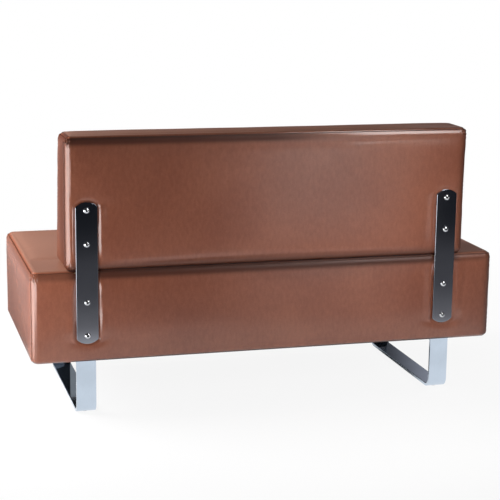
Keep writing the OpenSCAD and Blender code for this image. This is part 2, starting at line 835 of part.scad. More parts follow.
// Each screw sits on its strap's outer face and points forward
module at_strap_screws(y) {
    for (side = left_and_right, z = concat(seat_hole_zs, back_hole_zs))
        translate([side * strap_x, y, z]) rotate([90, 0, 0]) children();
}

// A button-head screw with a hexagon socket, its shank along +Z
module button_screw() {
    dome_r = (pow(head_d / 2, 2) + pow(head_h, 2)) / (2 * head_h);
    difference() {
        union() {
            cylinder(d = screw_d, h = screw_l);
            rotate([180, 0, 0]) rotate_extrude() intersection() {
                translate([0, head_h - dome_r]) circle(dome_r, $fn = 96);
                square([head_d / 2, head_h]);
            }
        }
        translate([0, 0, -head_h - overrun]) cylinder(d = socket_d, h = socket_depth + overrun, $fn = 6);
    }
}

module strap_screws() {
    color(steel_colour) at_strap_screws(strap_y + strap_t) button_screw();
}

module strap_tee_nuts() {
    color(steel_colour) {
        for (side = left_and_right, z = seat_hole_zs)
            translate([side * strap_x, rail_rear_y, z]) rotate([90, 0, 0]) tee_nut();
        for (side = left_and_right, z = back_hole_zs)
            translate([side * strap_x, board_front_y, z]) rotate([90, 0, 0]) tee_nut();
    }
}

leg_left();
leg_right();
leg_plate_left();
leg_plate_right();
leg_welds();
floor_glides();
leg_bolts();
leg_washers();
leg_tee_nuts();
seat_front_rail();
seat_rear_rail();
seat_end_left();
seat_end_right();
seat_centre_rail();
leg_bearer_left();
leg_bearer_right();
seat_corner_blocks();
seat_frame_screws();
seat_deck();
seat_foam();
seat_wrap();
seat_cover();
seat_dust_cover();
dust_cover_staples();
back_rear_board();
back_ribs();
back_top_rail();
back_foot_rail();
back_front_panel();
back_frame_screws();
back_foam();
back_rear_pad();
back_top_pad();
back_end_pads();
back_cover();
back_closing_cloth();
strap_left();
strap_right();
strap_screws();
strap_tee_nuts();
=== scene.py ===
"""Waiting sofa seen from behind: leather seat and backrest, screwed steel straps and chromed sled legs."""
import math

import bpy
import numpy as np
from bpy.props import FloatProperty, FloatVectorProperty, IntProperty, PointerProperty
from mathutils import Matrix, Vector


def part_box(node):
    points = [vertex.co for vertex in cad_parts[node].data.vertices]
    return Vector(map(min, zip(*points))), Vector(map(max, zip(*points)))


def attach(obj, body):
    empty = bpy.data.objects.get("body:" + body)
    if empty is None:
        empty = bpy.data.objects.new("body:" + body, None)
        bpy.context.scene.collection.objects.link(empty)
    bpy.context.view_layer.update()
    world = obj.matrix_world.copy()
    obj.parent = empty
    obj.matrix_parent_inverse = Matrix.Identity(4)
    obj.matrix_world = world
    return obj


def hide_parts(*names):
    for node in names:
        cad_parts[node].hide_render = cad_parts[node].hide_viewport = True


bl_info = {
    "name": "Waiting Sofa",
    "version": (1, 0, 0),
    "blender": (4, 5, 0),
    "location": "3D View > Sidebar > Sofa",
    "description": "Builds the leather, straps, legs, finishes and studio of a waiting sofa",
    "category": "Add Mesh",
}

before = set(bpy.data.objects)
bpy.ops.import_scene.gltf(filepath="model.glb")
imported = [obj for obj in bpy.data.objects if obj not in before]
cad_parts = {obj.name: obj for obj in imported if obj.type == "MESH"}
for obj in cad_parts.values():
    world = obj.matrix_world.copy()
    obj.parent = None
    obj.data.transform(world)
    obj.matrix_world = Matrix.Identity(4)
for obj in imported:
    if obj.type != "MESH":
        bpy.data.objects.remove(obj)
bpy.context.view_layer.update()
SEAT_LOW, SEAT_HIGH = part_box("seat_cover")
BACK_LOW, BACK_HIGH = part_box("back_cover")
STRAP_LOW, STRAP_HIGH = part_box("strap_left")
STRAP_X = (STRAP_LOW.x + STRAP_HIGH.x) / 2
STRAP_HALF = (STRAP_HIGH.x - STRAP_LOW.x) / 2
SIDES = ("left", "right")

# Kinds of column in a cover's ring: a corner's arc, then the faces in the order in which the ring runs
CORNER, REAR, RIGHT, FRONT, LEFT = range(5)

# Grids of a cover: columns of a long side, an end and a corner, then rows of the side, the foot arc, the
# top arc and the margin inside it. The coarse grids are for the cloth simulation.
FINE_SEAT, FINE_BACK = (176, 84, 28, 46, 6, 14, 10), (176, 36, 28, 50, 6, 14, 10)
COARSE_SEAT, COARSE_BACK = (96, 42, 8, 18, 2, 3, 2), (96, 12, 8, 26, 2, 3, 2)

# Lengths in metres that no tool changes
SEAT_DEPTH = 0.576  # rear face to front face
STRAP_GAP = 0.0003  # between a strap and the leather under it
BEYOND = 9.0  # height of a strap's end that lies past the cover
SKIN = 0.0026  # thickness of the leather
MARGIN = 0.0085  # width of the top's outer strip, which rises to the panel
BACK_PUFF = 0.0025  # rise of the backrest's top panel
BACKREST_END = 0.54  # half the length over which the backrest hides the seat's top
THREAD = 0.00042  # radius of a stitch


# Sizes and colours


def length(name, text, default):
    return FloatProperty(name=name, description=text, default=default, unit="LENGTH", precision=5)


def amount(name, text, default, low=0.0, high=1000.0):
    return FloatProperty(name=name, description=text, default=default, min=low, max=high)


def colour(name, text, default):
    return FloatVectorProperty(name=name, description=text, default=default, subtype="COLOR",
                               size=3, min=0, max=1)


class SofaLeather(bpy.types.PropertyGroup):
    """Sizes and colours of the two leather covers"""

    side_crown: length("Side crown", "Swelling of the seat's front and ends", 0.005)
    back_crown: length("Backrest crown", "Swelling of the backrest's front and ends", 0.006)
    rear_crown: length("Rear crown", "Swelling of the rear faces beside the straps", 0.004)
    seat_crown: length("Seat crown", "Rise of the seat's top in front of the backrest", 0.012)
    seat_round: length("Seat corners", "Rounding of the seat's upright corners", 0.022)
    back_round: length("Backrest corners", "Rounding of the backrest's upright corners", 0.020)
    edge_round: length("Top edges", "Height of the rounding below the top edges' seams", 0.0140)
    edge_inset: length("Top edge inset", "How far in from the face the top edge's seam lies", 0.0052)
    edge_drop: length("Top edge drop", "How far the top panel falls to its seam", 0.0035)
    foot_round: length("Foot edges", "Rounding where the seat's leather turns under", 0.008)
    back_foot_round: length("Backrest foot edge", "Rounding where the backrest's leather turns under", 0.014)
    back_depth_foot: length("Backrest foot", "Thickness of the backrest at its foot", 0.165)
    back_depth_top: length("Backrest top", "Thickness of the backrest at its top", 0.115)
    back_lean: length("Lean", "How far the backrest's rear leans out above the straps", 0.008)
    seam_depth: length("Seam depth", "Depth of the sewn grooves", 0.0026)
    seam_width: length("Seam width", "Half width of the sewn grooves", 0.0024)
    fullness: length("Fullness", "How far the leather stands out where nothing presses it", 0.0009)
    seam_shift: length("Seam shift", "From the middle of a corner to its seam, on the end's side", 0.0075)
    gather: length("Gathers", "Height of the small folds where the seams meet", 0.0011)
    stitch_pitch: length("Stitch pitch", "Distance from one stitch to the next", 0.0055)
    dent_ramp: length("Dent ramp", "Width of the slope where a strap sinks into the leather", 0.011)
    dent_bulge: length("Dent bulge", "Height of the leather's bulge beside a strap", 0.0036)
    light_brown: colour("Light brown", "Leather where it is rubbed and stretched", (0.268, 0.093, 0.051))
    # Greyer brown of every face that looks up, on the seat and the backrest alike
    upward_brown: colour("Rubbed brown", "Leather of the level faces, where people sit", (0.19, 0.105, 0.075))
    deep_brown: colour("Deep brown", "Leather in the grain and in the seams", (0.168, 0.048, 0.025))
    # Strengths of the painted shade of each cover: along its top edges and at its rear right corner, and also
    # over the backrest's ends and foot and on the seat beneath the backrest
    seat_painted_shade: amount("Seat edge shade", "Dark dye along the seat's top edges", 0.90, high=1)
    back_painted_shade: amount("Backrest edge shade", "Dark dye along the backrest's top edges", 0.92, high=1)
    grain: amount("Grain", "Size of a grain cell in millimetres", 2.4, 0.5, 8)
    pressure: amount("Pressure", "Pressure that fills the covers", 4.0, high=20)
    swell_cap: length("Swelling", "Furthest that the pressure moves a point", 0.0032)
    frames: IntProperty(name="Frames", description="Steps that the covers swell for",
                        default=16, min=1, max=40)


class SofaMetal(bpy.types.PropertyGroup):
    """Sizes and colours of the straps, screws and legs"""

    strap_arch: length("Strap arch", "Rise of the arched ends of a strap", 0.0125)
    strap_bevel: length("Strap bevel", "Bevel along the edges of a strap", 0.0006)
    strap_shoulder: length("Strap shoulder", "Rounding where the arch meets the sides", 0.006)
    hole_end: length("First screw", "From the end of a strap to its first screw", 0.022)
    hole_pitch: length("Screw pitch", "Distance between the two screws of a pair", 0.090)
    head_d: length("Screw head", "Diameter of the button heads", 0.016)
    head_h: length("Head height", "Height of the button heads", 0.0045)
    socket_d: length("Socket", "Width of the hexagon socket across its corners", 0.0068)
    leg_t: length("Leg bar", "Thickness of the flat bar of the legs", 0.008)
    leg_bend: length("Leg bend", "Outer radius of the leg's bends", 0.028)
    leg_edge: length("Leg edge", "Rounding of the flat bar's edges", 0.0009)
    chrome: colour("Chrome", "Polished chrome of the legs", (0.56, 0.64, 0.74))
    dark_steel: colour("Dark steel", "Dark polished steel of the straps", (0.290, 0.300, 0.335))
    screw_steel: colour("Screw steel", "Bright steel of the screws", (0.62, 0.63, 0.66))


class SofaStudio(bpy.types.PropertyGroup):
    """Camera and lights"""

    lens: amount("Lens", "Focal length of the camera in millimetres", 104.595, 1.0)
    ambient: amount("Ambient", "Even light from all sides", 0.175)
    side_light: amount("Side light", "Power of the soft box at the left end", 138.0)
    right_light: amount("Right light", "Power of the soft box at the right end", 25.0)
    rear_light: amount("Rear light", "Power of the small light on the rear face", 4.6)
    top_light: amount("Top light", "Power of the soft box above the right end", 2.0)
    front_light: amount("Front light", "Power of the broad light before the sofa", 28.0)
    corner_light: amount("Corner light", "Power of the small light on the rear left corner", 2.0)
    # Strength of the floor's glowing patch, painted light, which the left corners mirror
    side_gleam: amount("Side gleam", "Brightness of the floor that the left corners mirror", 8.0)
    top_gleam: amount("Top gleam", "Power of the card that the top edge mirrors", 30.0)


# Shader arithmetic


class Wire:
    """One value or colour that flows through a finish, written in plain sums."""

    def __init__(self, finish, socket):
        self.finish, self.socket = finish, socket

    def __add__(self, other):
        return self.finish.maths("ADD", self, other)

    def __sub__(self, other):
        return self.finish.maths("SUBTRACT", self, other)

    def __rsub__(self, other):
        return self.finish.maths("SUBTRACT", other, self)

    def __mul__(self, other):
        return self.finish.maths("MULTIPLY", self, other)

    def __truediv__(self, other):
        return self.finish.maths("DIVIDE", self, other)

    __radd__, __rmul__ = __add__, __mul__


class Finish:
    """A node tree for one finish. put() adds any node: its settings first, then its sockets."""

    def __init__(self, tree):
        self.tree = tree
        tree.nodes.clear()

    def put(self, kind, settings=None, sockets=None, out=0):
        node = self.tree.nodes.new(kind)
        for key, value in (settings or {}).items():
            if key == "stops":
                ramp = node.color_ramp
                while len(ramp.elements) < len(value):
                    ramp.elements.new(0.5)
                for element, (place, shade) in zip(ramp.elements, value):
                    element.position, element.color = place, (*shade, 1)
            else:
                setattr(node, key, value)
        for key, value in (sockets or {}).items():
            if isinstance(value, Wire):
                self.tree.links.new(value.socket, node.inputs[key])
            else:
                node.inputs[key].default_value = value
        return Wire(self, node.outputs[out]) if len(node.outputs) else node

    def outputs(self, kind, sockets=None):
        """All outputs of a node."""
        node = self.put(kind, None, sockets).socket.node
        return [Wire(self, socket) for socket in node.outputs]

    def maths(self, operation, a, b=0.0):
        return self.put("ShaderNodeMath", {"operation": operation}, {0: a, 1: b})

    def clamp(self, value, low, high):
        """0 below low, 1 above high, smooth between them."""
        return self.put("ShaderNodeMapRange", {"interpolation_type": "SMOOTHSTEP"},
                        {"Value": value, "From Min": low, "From Max": high})

    def blend(self, share, a, b):
        """Colour a where share is 0 and b where it is 1."""
        return self.put("ShaderNodeMix", {"data_type": "RGBA"}, {0: share, 6: a, 7: b}, out=2)

    def place(self, scale=(1, 1, 1)):
        """Object coordinates, stretched by scale."""
        where = self.put("ShaderNodeTexCoord", out=3)
        return self.put("ShaderNodeMapping", None, {"Vector": where, "Scale": scale})

    def noise(self, where, scale, detail=2.0, rough=0.5):
        return self.put("ShaderNodeTexNoise", None,
                        {"Vector": where, "Scale": scale, "Detail": detail, "Roughness": rough})

    def cells(self, where, scale, feature="DISTANCE_TO_EDGE"):
        return self.put("ShaderNodeTexVoronoi", {"feature": feature}, {"Vector": where, "Scale": scale})

    def waves(self, settings, where, scale, sockets=None):
        """Bands or rings as a value from 0 to 1."""
        bands = self.put("ShaderNodeTexWave", settings, {"Vector": where, "Scale": scale, **(sockets or {})})
        return self.put("ShaderNodeSeparateColor", None, {0: bands})

    def attribute(self, name):
        return self.put("ShaderNodeAttribute", {"attribute_name": name}, out=2)

    def bump(self, height, strength, distance, normal=None):
        sockets = {"Height": height, "Strength": strength, "Distance": distance}
        if normal:
            sockets["Normal"] = normal
        return self.put("ShaderNodeBump", None, sockets)

    def surface(self, **sockets):
        named = {key.replace("_", " "): value for key, value in sockets.items()}
        shader = self.put("ShaderNodeBsdfPrincipled", None, named)
        self.put("ShaderNodeOutputMaterial", None, {"Surface": shader})

    def shine(self, tone, strength=1.0):
        return self.put("ShaderNodeEmission", None, {"Color": tone, "Strength": strength})

    def mix(self, share, a, b):
        """Shader a where share is 0 and b where it is 1."""
        return self.put("ShaderNodeMixShader", None, {0: share, 1: a, 2: b})


def new_finish(name):
    material = bpy.data.materials.new(name)
    material.use_nodes = True
    return material, Finish(material.node_tree)


def rgba(shade, share=1.0):
    """A shade, darkened to a share of itself, with full opacity."""
    return (*(share * c for c in shade), 1.0)


def dress(thing, material):
    """Gives a thing one finish over all its faces."""
    thing.data.materials.clear()
    thing.data.materials.append(material)


# Finishes


def leather_finish(name, leather):
    """Brown upholstery leather: fine grain cells, faint short streaks and clouds of colour, rubbed edges,
    painted shade by the attribute shade, with less coat there, and darker sewn grooves, under a clear
    glossy coat. Faces that look up, on any piece, take the greyer upward_brown and little coat."""
    material, f = new_finish(name)
    where = f.place()
    cloud = f.noise(where, 6.0, 3.0)
    streak = f.noise(f.place((1.0, 1.0, 0.45)), 120.0, 3.0, 0.6)
    speck = f.noise(where, 420.0, 2.0)
    size = 1000 / leather.grain
    valley = f.clamp(f.cells(f.place((1.0, 1.0, 0.8)), size), 0.02, 0.20)
    wrinkle = f.clamp(f.cells(where, size * 0.25), 0.0, 0.08)
    light, dark = rgba(leather.light_brown), rgba(leather.deep_brown, 0.30)
    tone = f.clamp(cloud * 0.40 + streak * 0.35 + speck * 0.25, 0.25, 0.75) * (0.80 + valley * 0.20)
    body = f.blend(tone, rgba(leather.deep_brown), light)
    worn = f.blend(f.attribute("wear") * 0.30, body, light)
    # Faces that look up, on the seat and the backrest alike, take part of the greyer brown upward_brown and,
    # below, much less coat
    upward = f.outputs("ShaderNodeSeparateXYZ", {0: f.put("ShaderNodeNewGeometry", out=1)})[2]
    level = f.clamp(upward, 0.80, 0.97)
    rubbed = f.blend(level * 0.6, worn, rgba(leather.upward_brown))
    seam, edge = f.attribute("seam"), f.attribute("shade")
    # Painted shade: edge, the attribute shade, paints the leather dark where shade falls: along the top
    # edges, at the rear right corner, over the backrest's ends and foot, and on the seat beneath the backrest
    with_painted_shade = f.blend(edge, rubbed, dark)
    final = f.blend(f.clamp(seam, 0.15, 1.0) * 0.9, with_painted_shade, dark)
    height = valley * 0.7 + wrinkle * 0.3 + speck * 0.25
    normal = f.bump(height, 0.13, 0.0004, f.bump(cloud + streak * 0.30, 0.16, 0.0010))
    f.surface(Base_Color=final, Roughness=0.38 + speck * 0.08 + seam * 0.25, Specular_IOR_Level=0.25,
              Coat_Weight=f.clamp(1 - seam, 0.0, 1.0) * (0.95 - edge) * (1 - level * 0.8),
              Coat_Roughness=0.13, Normal=normal)
    return material


def chrome_finish(name, shade, rough, spread=0.05, socket_shade=None):
    """Polished plated steel: faint clouding in the gloss and hairline rubbing along the bar. Painted shade
    darkens it to near black where the attribute named by pit is 1, as in a screw's socket."""
    material, f = new_finish(name)
    cloud = f.noise(f.place(), 14.0, 3.0)
    rub = f.noise(f.place((1.0, 0.06, 0.06)), 900.0, 2.0)
    fleck = f.clamp(f.noise(f.place(), 240.0, 3.0), 0.62, 0.80)
    body = f.blend(f.clamp(cloud, 0.35, 0.75) * 0.6 + fleck * 0.3, rgba(shade), rgba(shade, 0.86))
    if socket_shade:
        # Painted shade of a hollow, nearly black
        body = f.blend(f.attribute(socket_shade), body, (0.015, 0.015, 0.018, 1))
    gloss = rough + cloud * spread + rub * spread * 0.5 + fleck * 0.05
    f.surface(Base_Color=body, Metallic=1.0, Roughness=gloss, Normal=f.bump(rub * 0.4 + cloud, 0.05, 0.0004))
    return material


def zinc_finish(name):
    """Zinc-plated fastener: cool grey with mottled crystals."""
    material, f = new_finish(name)
    flake = f.cells(f.place(), 420.0, "F1")
    stain = f.noise(f.place(), 60.0, 3.0)
    body = f.blend(f.clamp(flake + stain * 0.5, 0.25, 0.9), (0.62, 0.64, 0.67, 1), (0.40, 0.42, 0.45, 1))
    f.surface(Base_Color=body, Metallic=1.0, Roughness=0.32 + stain * 0.25,
              Normal=f.bump(flake, 0.15, 0.0003))
    return material


def timber_finish(name, light, dark, stretch):
    """Sawn timber: growth rings as distorted waves along the board, and fine fibres."""
    material, f = new_finish(name)
    ring = f.waves({"wave_type": "RINGS"}, f.place(stretch), 26.0,
                   {"Distortion": 5.0, "Detail": 3.0, "Detail Scale": 1.4})
    fibre = f.noise(f.place(tuple(8 * s for s in stretch)), 130.0, 3.0)
    tone = ring * 0.55 + fibre * 0.45
    body = f.blend(tone, rgba(light), rgba(dark))
    f.surface(Base_Color=body, Roughness=0.62 + fibre * 0.2, Normal=f.bump(tone, 0.25, 0.0006))
    return material


def plywood_finish(name):
    """Birch plywood: thin glued layers across the edge and long pale figure on the face."""
    material, f = new_finish(name)
    layer = f.waves({"bands_direction": "Z"}, f.place(), 105.0, {"Distortion": 0.4})
    figure = f.noise(f.place((0.12, 1.0, 1.0)), 60.0, 4.0, 0.6)
    body = f.blend(figure * 0.6 + layer * 0.3, (0.64, 0.47, 0.29, 1), (0.42, 0.27, 0.15, 1))
    f.surface(Base_Color=body, Roughness=0.55 + figure * 0.2, Normal=f.bump(figure, 0.2, 0.0005))
    return material


def foam_finish(name):
    """Open-celled upholstery foam: pale yellow with pores."""
    material, f = new_finish(name)
    pores = f.clamp(f.cells(f.place(), 620.0), 0.0, 0.3)
    age = f.noise(f.place(), 12.0, 3.0)
    body = f.blend(pores * 0.6 + age * 0.4, (0.50, 0.40, 0.20, 1), (0.84, 0.76, 0.52, 1))
    f.surface(Base_Color=body, Roughness=0.92, Normal=f.bump(pores, 0.5, 0.0006))
    return material


def cloth_finish(name):
    """Black spun-bonded base cloth: matted fibres with a faint grid of bonding points."""
    material, f = new_finish(name)
    fibre = f.noise(f.place((1.0, 0.35, 1.0)), 700.0, 3.0)
    grid_x, grid_y = (f.waves({"bands_direction": axis}, f.place(), 105.0) for axis in "XY")
    dots = grid_x * grid_y
    body = f.blend(fibre * 0.7 + dots * 0.3, (0.012, 0.012, 0.014, 1), (0.045, 0.045, 0.050, 1))
    f.surface(Base_Color=body, Roughness=0.94, Specular_IOR_Level=0.15,
              Normal=f.bump(fibre + dots, 0.4, 0.0004))
    return material


def plastic_finish(name):
    """Moulded black plastic with a fine eroded skin."""
    material, f = new_finish(name)
    skin = f.noise(f.place(), 900.0, 3.0)
    body = f.blend(skin, (0.012, 0.012, 0.013, 1), (0.030, 0.030, 0.033, 1))
    f.surface(Base_Color=body, Roughness=0.45 + skin * 0.2, Normal=f.bump(skin, 0.2, 0.0003))
    return material


def thread_finish(name, leather):
    """Twisted polyester thread: two brown tones that wind along the thread."""
    material, f = new_finish(name)
    ply = f.waves({"bands_direction": "DIAGONAL"}, f.place(), 900.0)
    body = f.blend(ply, rgba(leather.deep_brown), rgba(leather.light_brown, 1.25))
    f.surface(Base_Color=body, Roughness=0.55, Normal=f.bump(ply, 0.3, 0.0002))
    return material


# Surfaces


def smooth_step(low, high, value):
    """0 below low and 1 above high, by 3t^2 - 2t^3 between them."""
    t = np.clip((value - low) / (high - low), 0.0, 1.0)
    return t * t * (3 - 2 * t)


def hump(value, width):
    """Bell curve exp(-(value / width)^2)."""
    return np.exp(-((value / width) ** 2))


def spaced(start, end, count, places, reach, gain):
    """count + 1 places from start to end, closer together near places: the spacing is the inverse of
    a density of 1 plus gain times a bell round each place."""
    fine = np.linspace(start, end, 4001)
    density = np.ones_like(fine)
    for place in places:
        density += gain * hump(fine - place, reach)
    total = np.concatenate([[0.0], np.cumsum((density[1:] + density[:-1]) / 2)])
    return np.interp(np.linspace(0.0, total[-1], count + 1), total, fine)


def ripple(a, b, seed):
    """Slow waves over (a, b) in metres, from -1 to 1: the mean of six sines of turned directions."""
    rng = np.random.default_rng(seed)
    total = 0.0
    for _ in range(6):
        turn, wave, phase = rng.uniform(0, math.pi), rng.uniform(9, 34), rng.uniform(0, 2 * math.pi)
        total = total + np.sin(wave * (a * math.cos(turn) + b * math.sin(turn)) + phase)
    return total / 6


def add_mesh(name, verts, faces, smooth=True):
    mesh = bpy.data.meshes.new(name)
    mesh.from_pydata(np.asarray(verts, float).tolist(), [], faces)
    mesh.update()
    mesh.polygons.foreach_set("use_smooth", np.full(len(mesh.polygons), smooth))
    thing = bpy.data.objects.new(name, mesh)
    bpy.context.scene.collection.objects.link(thing)
    return thing


def mark(thing, name, values):
    """Gives every point of a thing a value that its finish reads."""
    layer = thing.data.attributes.new(name, "FLOAT", "POINT")
    layer.data.foreach_set("value", np.asarray(values, np.float32))


def grid_faces(rows, columns, start=0):
    """Quads of a grid of points whose columns close into a ring. They face out where the columns turn
    counter-clockwise and the rows rise."""
    low = start + np.arange(rows - 1)[:, None] * columns
    here, after = np.arange(columns)[None], (np.arange(columns)[None] + 1) % columns
    return np.stack([low + here, low + after, low + columns + after, low + columns + here], -1).reshape(-1, 4)


def tube_faces(rows, columns, start=0):
    """Faces of a tube on such a grid, with one face over each end."""
    first = start + np.arange(columns)
    ends = [first[::-1].tolist(), (first + (rows - 1) * columns).tolist()]
    return grid_faces(rows, columns, start).tolist() + ends


class Cover:
    """A sewn box cover on a grid. A ring of columns runs round the plan, a rounded rectangle: rear face,
    right end, front face, left end, each with half of the corner arcs at both its ends. Rows run up the
    profile: hem, foot arc, side, top arc and a margin. The top is a Coons patch between the four sides of
    the last ring: the sum of the two blends of opposite sides less the blend of the corners."""

    def __init__(self, leather, counts, **sizes):
        """The sizes are: seed, of the cover's waves; half, of its length; rear, where its rear face lies;
        deep_foot and deep_top, its depths; foot and top, its heights; corner and foot_round, its
        roundings; side_crown and top_crown, its swelling; crown_rear, where the crown of its top ends;
        lean; hem, the width turned under; strap_low and strap_high, the straps' ends; dark_edge, its painted
        shade."""
        self.leather = leather
        for name, value in sizes.items():
            setattr(self, name, value)
        self.is_back = self.strap_low < 0
        self.edge, self.inner_edge = leather.edge_round, leather.edge_inset
        self.low, self.high = self.foot + self.foot_round, self.top - leather.edge_drop - self.edge
        self.crowned = 0.72
        self.make_columns(*counts[:3])
        self.make_rows(*counts[3:])
        self.measure_ring()

    def rear_at(self, z):
        """Upright, then leaning out above the straps by the share of the way to the top, to the power 1.5."""
        start = min(self.strap_high, self.top) - 0.02
        share = np.clip((z - start) / max(self.top - start, 1e-6), 0, 1)
        return self.rear + self.lean * share ** 1.5

    def front_at(self, z):
        """Straight line from the foot's depth to the top's."""
        share = np.clip((z - self.foot) / (self.top - self.foot), 0, 1)
        return self.rear - self.deep_foot + (self.deep_foot - self.deep_top) * share

    def make_columns(self, long_count, end_count, corner_count):
        """Every column has a place x0, shares of the rear and front faces' depths, a distance to add to
        them, a plan normal, its kind, and its share of the way along its face, from -1 to 1."""
        r, flat, h = self.corner, self.half - self.corner, corner_count // 2
        strap_edges = [s * STRAP_X + e * (2 * STRAP_HALF + 0.006) / 2 for s in (1, -1) for e in (1, -1)]
        rear_x = spaced(flat, -flat, long_count, strap_edges, 0.008, 9.0)
        front_x = np.linspace(-flat, flat, long_count + 1)
        share = spaced(1.0, -1.0, end_count, (1.0, -1.0), 0.006 / ((self.deep_foot / 2 - r) * 0.9), 14.0)

        def arc(sx, sy, start):
            """Columns over 45 degrees of the corner at (sx, sy)."""
            turn = np.linspace(math.radians(start), math.radians(start + 45), h + 1)[:-1]
            return [(sx * flat + r * math.cos(a), float(sy > 0), float(sy < 0), r * (math.sin(a) - sy),
                     math.cos(a), math.sin(a), CORNER, 0) for a in turn]

        def end(side, kind, shares):
            return [(side * self.half, (1 + s) / 2, (1 - s) / 2, -s * r, side, 0, kind, s) for s in shares]

        columns = arc(1, 1, 45) + [(x, 1, 0, 0, 0, 1, REAR, x / flat) for x in rear_x[:-1]]
        columns += arc(-1, 1, 90) + arc(-1, 1, 135) + end(-1, RIGHT, share[:-1])
        columns += arc(-1, -1, 180) + arc(-1, -1, 225)
        columns += [(x, 0, 1, 0, 0, -1, FRONT, x / flat) for x in front_x[:-1]]
        columns += arc(1, -1, 270) + arc(1, -1, 315) + end(1, LEFT, -share[:-1]) + arc(1, 1, 0)
        self.columns = np.array(columns, float).T
        self.long_side, self.end_side = long_count + 2 * h, end_count + 2 * h

    def make_rows(self, side_count, foot_count, arc_count, margin_count):
        """Profile rows as pairs of inset and height."""
        low, high = self.low, self.high
        inset, height = [self.hem, (self.hem + self.foot_round) / 2], [self.foot, self.foot]
        for a in np.linspace(0, math.pi / 2, foot_count):
            inset.append(self.foot_round * (1 - math.sin(a)))
            height.append(self.foot + self.foot_round * (1 - math.cos(a)))
        near = [z for z in (self.strap_low, self.strap_high, low, high) if low - 0.001 < z < high + 0.001]
        for z in spaced(low, high, side_count, near, 0.014, 4.0)[1:-1]:
            inset.append(0.0)
            height.append(z)
        for a in np.linspace(0, math.pi / 2, arc_count):
            inset.append(self.inner_edge * (1 - math.cos(a)))
            height.append(high + self.edge * math.sin(a))
        for m in np.linspace(0, 1, margin_count)[1:]:
            inset.append(self.inner_edge + MARGIN * m)
            height.append(self.top - self.leather.edge_drop * (1 - m) ** 1.4)
        self.inset, self.height = np.array(inset), np.array(height)
        step = np.hypot(np.diff(self.inset), np.diff(self.height))
        self.profile = np.concatenate([[0.0], np.cumsum(step)])

    def measure_ring(self):
        """Distance of every column along the ring at the mid height, from the first one, with the places
        of the four corners' middles."""
        x0, wr, wf, c = self.columns[:4]
        z = (self.foot + self.top) / 2
        plan = np.stack([x0, wr * self.rear_at(z) + wf * self.front_at(z) + c])
        step = np.hypot(*(np.roll(plan, -1, axis=1) - plan))
        n, m = self.long_side, self.end_side
        self.perimeter = step.sum()
        self.ring = np.concatenate([[0.0], np.cumsum(step)[:-1]])
        self.corner_places = self.ring[[0, n, n + m, 2 * n + m]]

    def press(self, x, z):
        """How fully a strap presses the leather flat, 1 on the strap and 0 beyond the ramp round its
        outline, and the distance outside that outline, a rectangle with arched ends."""
        off = np.abs(np.abs(x) - STRAP_X)
        across = off - STRAP_HALF
        arch = 0.010 * (off / STRAP_HALF) ** 2
        along = np.maximum(self.strap_low + arch - z, z - (self.strap_high - arch))
        outside = np.hypot(np.maximum(across, 0), np.maximum(along, 0))
        outside = outside + np.minimum(np.maximum(across, along), 0)
        ramp = self.leather.dent_ramp * (1 + 0.35 * np.sin(61 * z + 3 * np.sign(x)) * np.sin(23 * z + 1))
        return 1 - smooth_step(0.0005, ramp, outside), outside

    def side_points(self, inset, z, detail=True):
        """Rows of the side band and, with detail, their marks: seam, wear and shade. The band is the
        rounded rectangle moved out along its normal by the swelling less the inset. The swelling is a
        parabola up the side times a flat-topped curve along it."""
        x0, wr, wf, c, nx, ny, kind, share = self.columns
        inset, z = inset[:, None], z[:, None]
        x = x0 + 0 * z
        y = wr * self.rear_at(z) + wf * self.front_at(z) + c
        low, high = self.low, self.high
        rise = np.clip(1 - ((2 * z - low - high) / (high - low)) ** 2, 0, 1)
        rear = (kind == REAR) * (1 - np.abs(share) ** 6)
        other = (kind > REAR) * (1 - share ** 2)
        press, outside = self.press(x, z)
        press = press * (kind == REAR)
        swell = self.leather.rear_crown * rear * (1 - press) + self.side_crown * other
        out = self.crowned * rise ** 0.85 * swell
        if detail:
            side = smooth_step(0.0, 0.55, rise)
            out = self.add_fullness(out, x, y, z, side, press, outside)
            out, seam, wear, right_corner_shade = self.add_corners(out, inset, z, side)
        out = out - inset
        points = np.stack([x + nx * out, y + ny * out, z + 0 * x], -1)
        marks = None
        if detail:
            groove = hump(inset - self.inner_edge - 0.0006, self.leather.seam_width * 0.7)
            seam = np.maximum(seam, groove * (z > high + self.edge * 0.8))
            marks = np.stack([seam, np.clip(wear, 0, 1), self.painted_shade(x, y, z, inset, right_corner_shade)])
            points[..., 2] += self.relief(inset)
        panel = (inset >= self.inner_edge * 0.999) & (z > high + self.edge * 0.999)
        points[..., 2] += np.where(panel, self.crown(points[..., 0], points[..., 1]), 0)
        return points, marks

    def add_fullness(self, out, x, y, z, side, press, outside):
        """Adds an even fullness, slow waves and a bulge beside each strap to the way out."""
        leather, ny, kind = self.leather, self.columns[5], self.columns[6]
        out = out + leather.fullness * (1 - press) * smooth_step(self.foot, self.low, z)
        along = np.where((kind == REAR) | (kind == FRONT), x, y)
        out = out + 0.0006 * side * ripple(along + 3 * ny, z, self.seed) * (1 - press)
        bulge = hump(outside - leather.dent_ramp * 1.2, 0.0090) * (outside > 0) * (kind == REAR)
        bulge = bulge * (1 - smooth_step(self.strap_high - 0.03, self.strap_high, z))
        bulge = bulge * smooth_step(self.strap_low, self.strap_low + 0.03, z)
        return out + leather.dent_bulge * bulge * side * (1 + 0.3 * np.sin(34 * z + x))

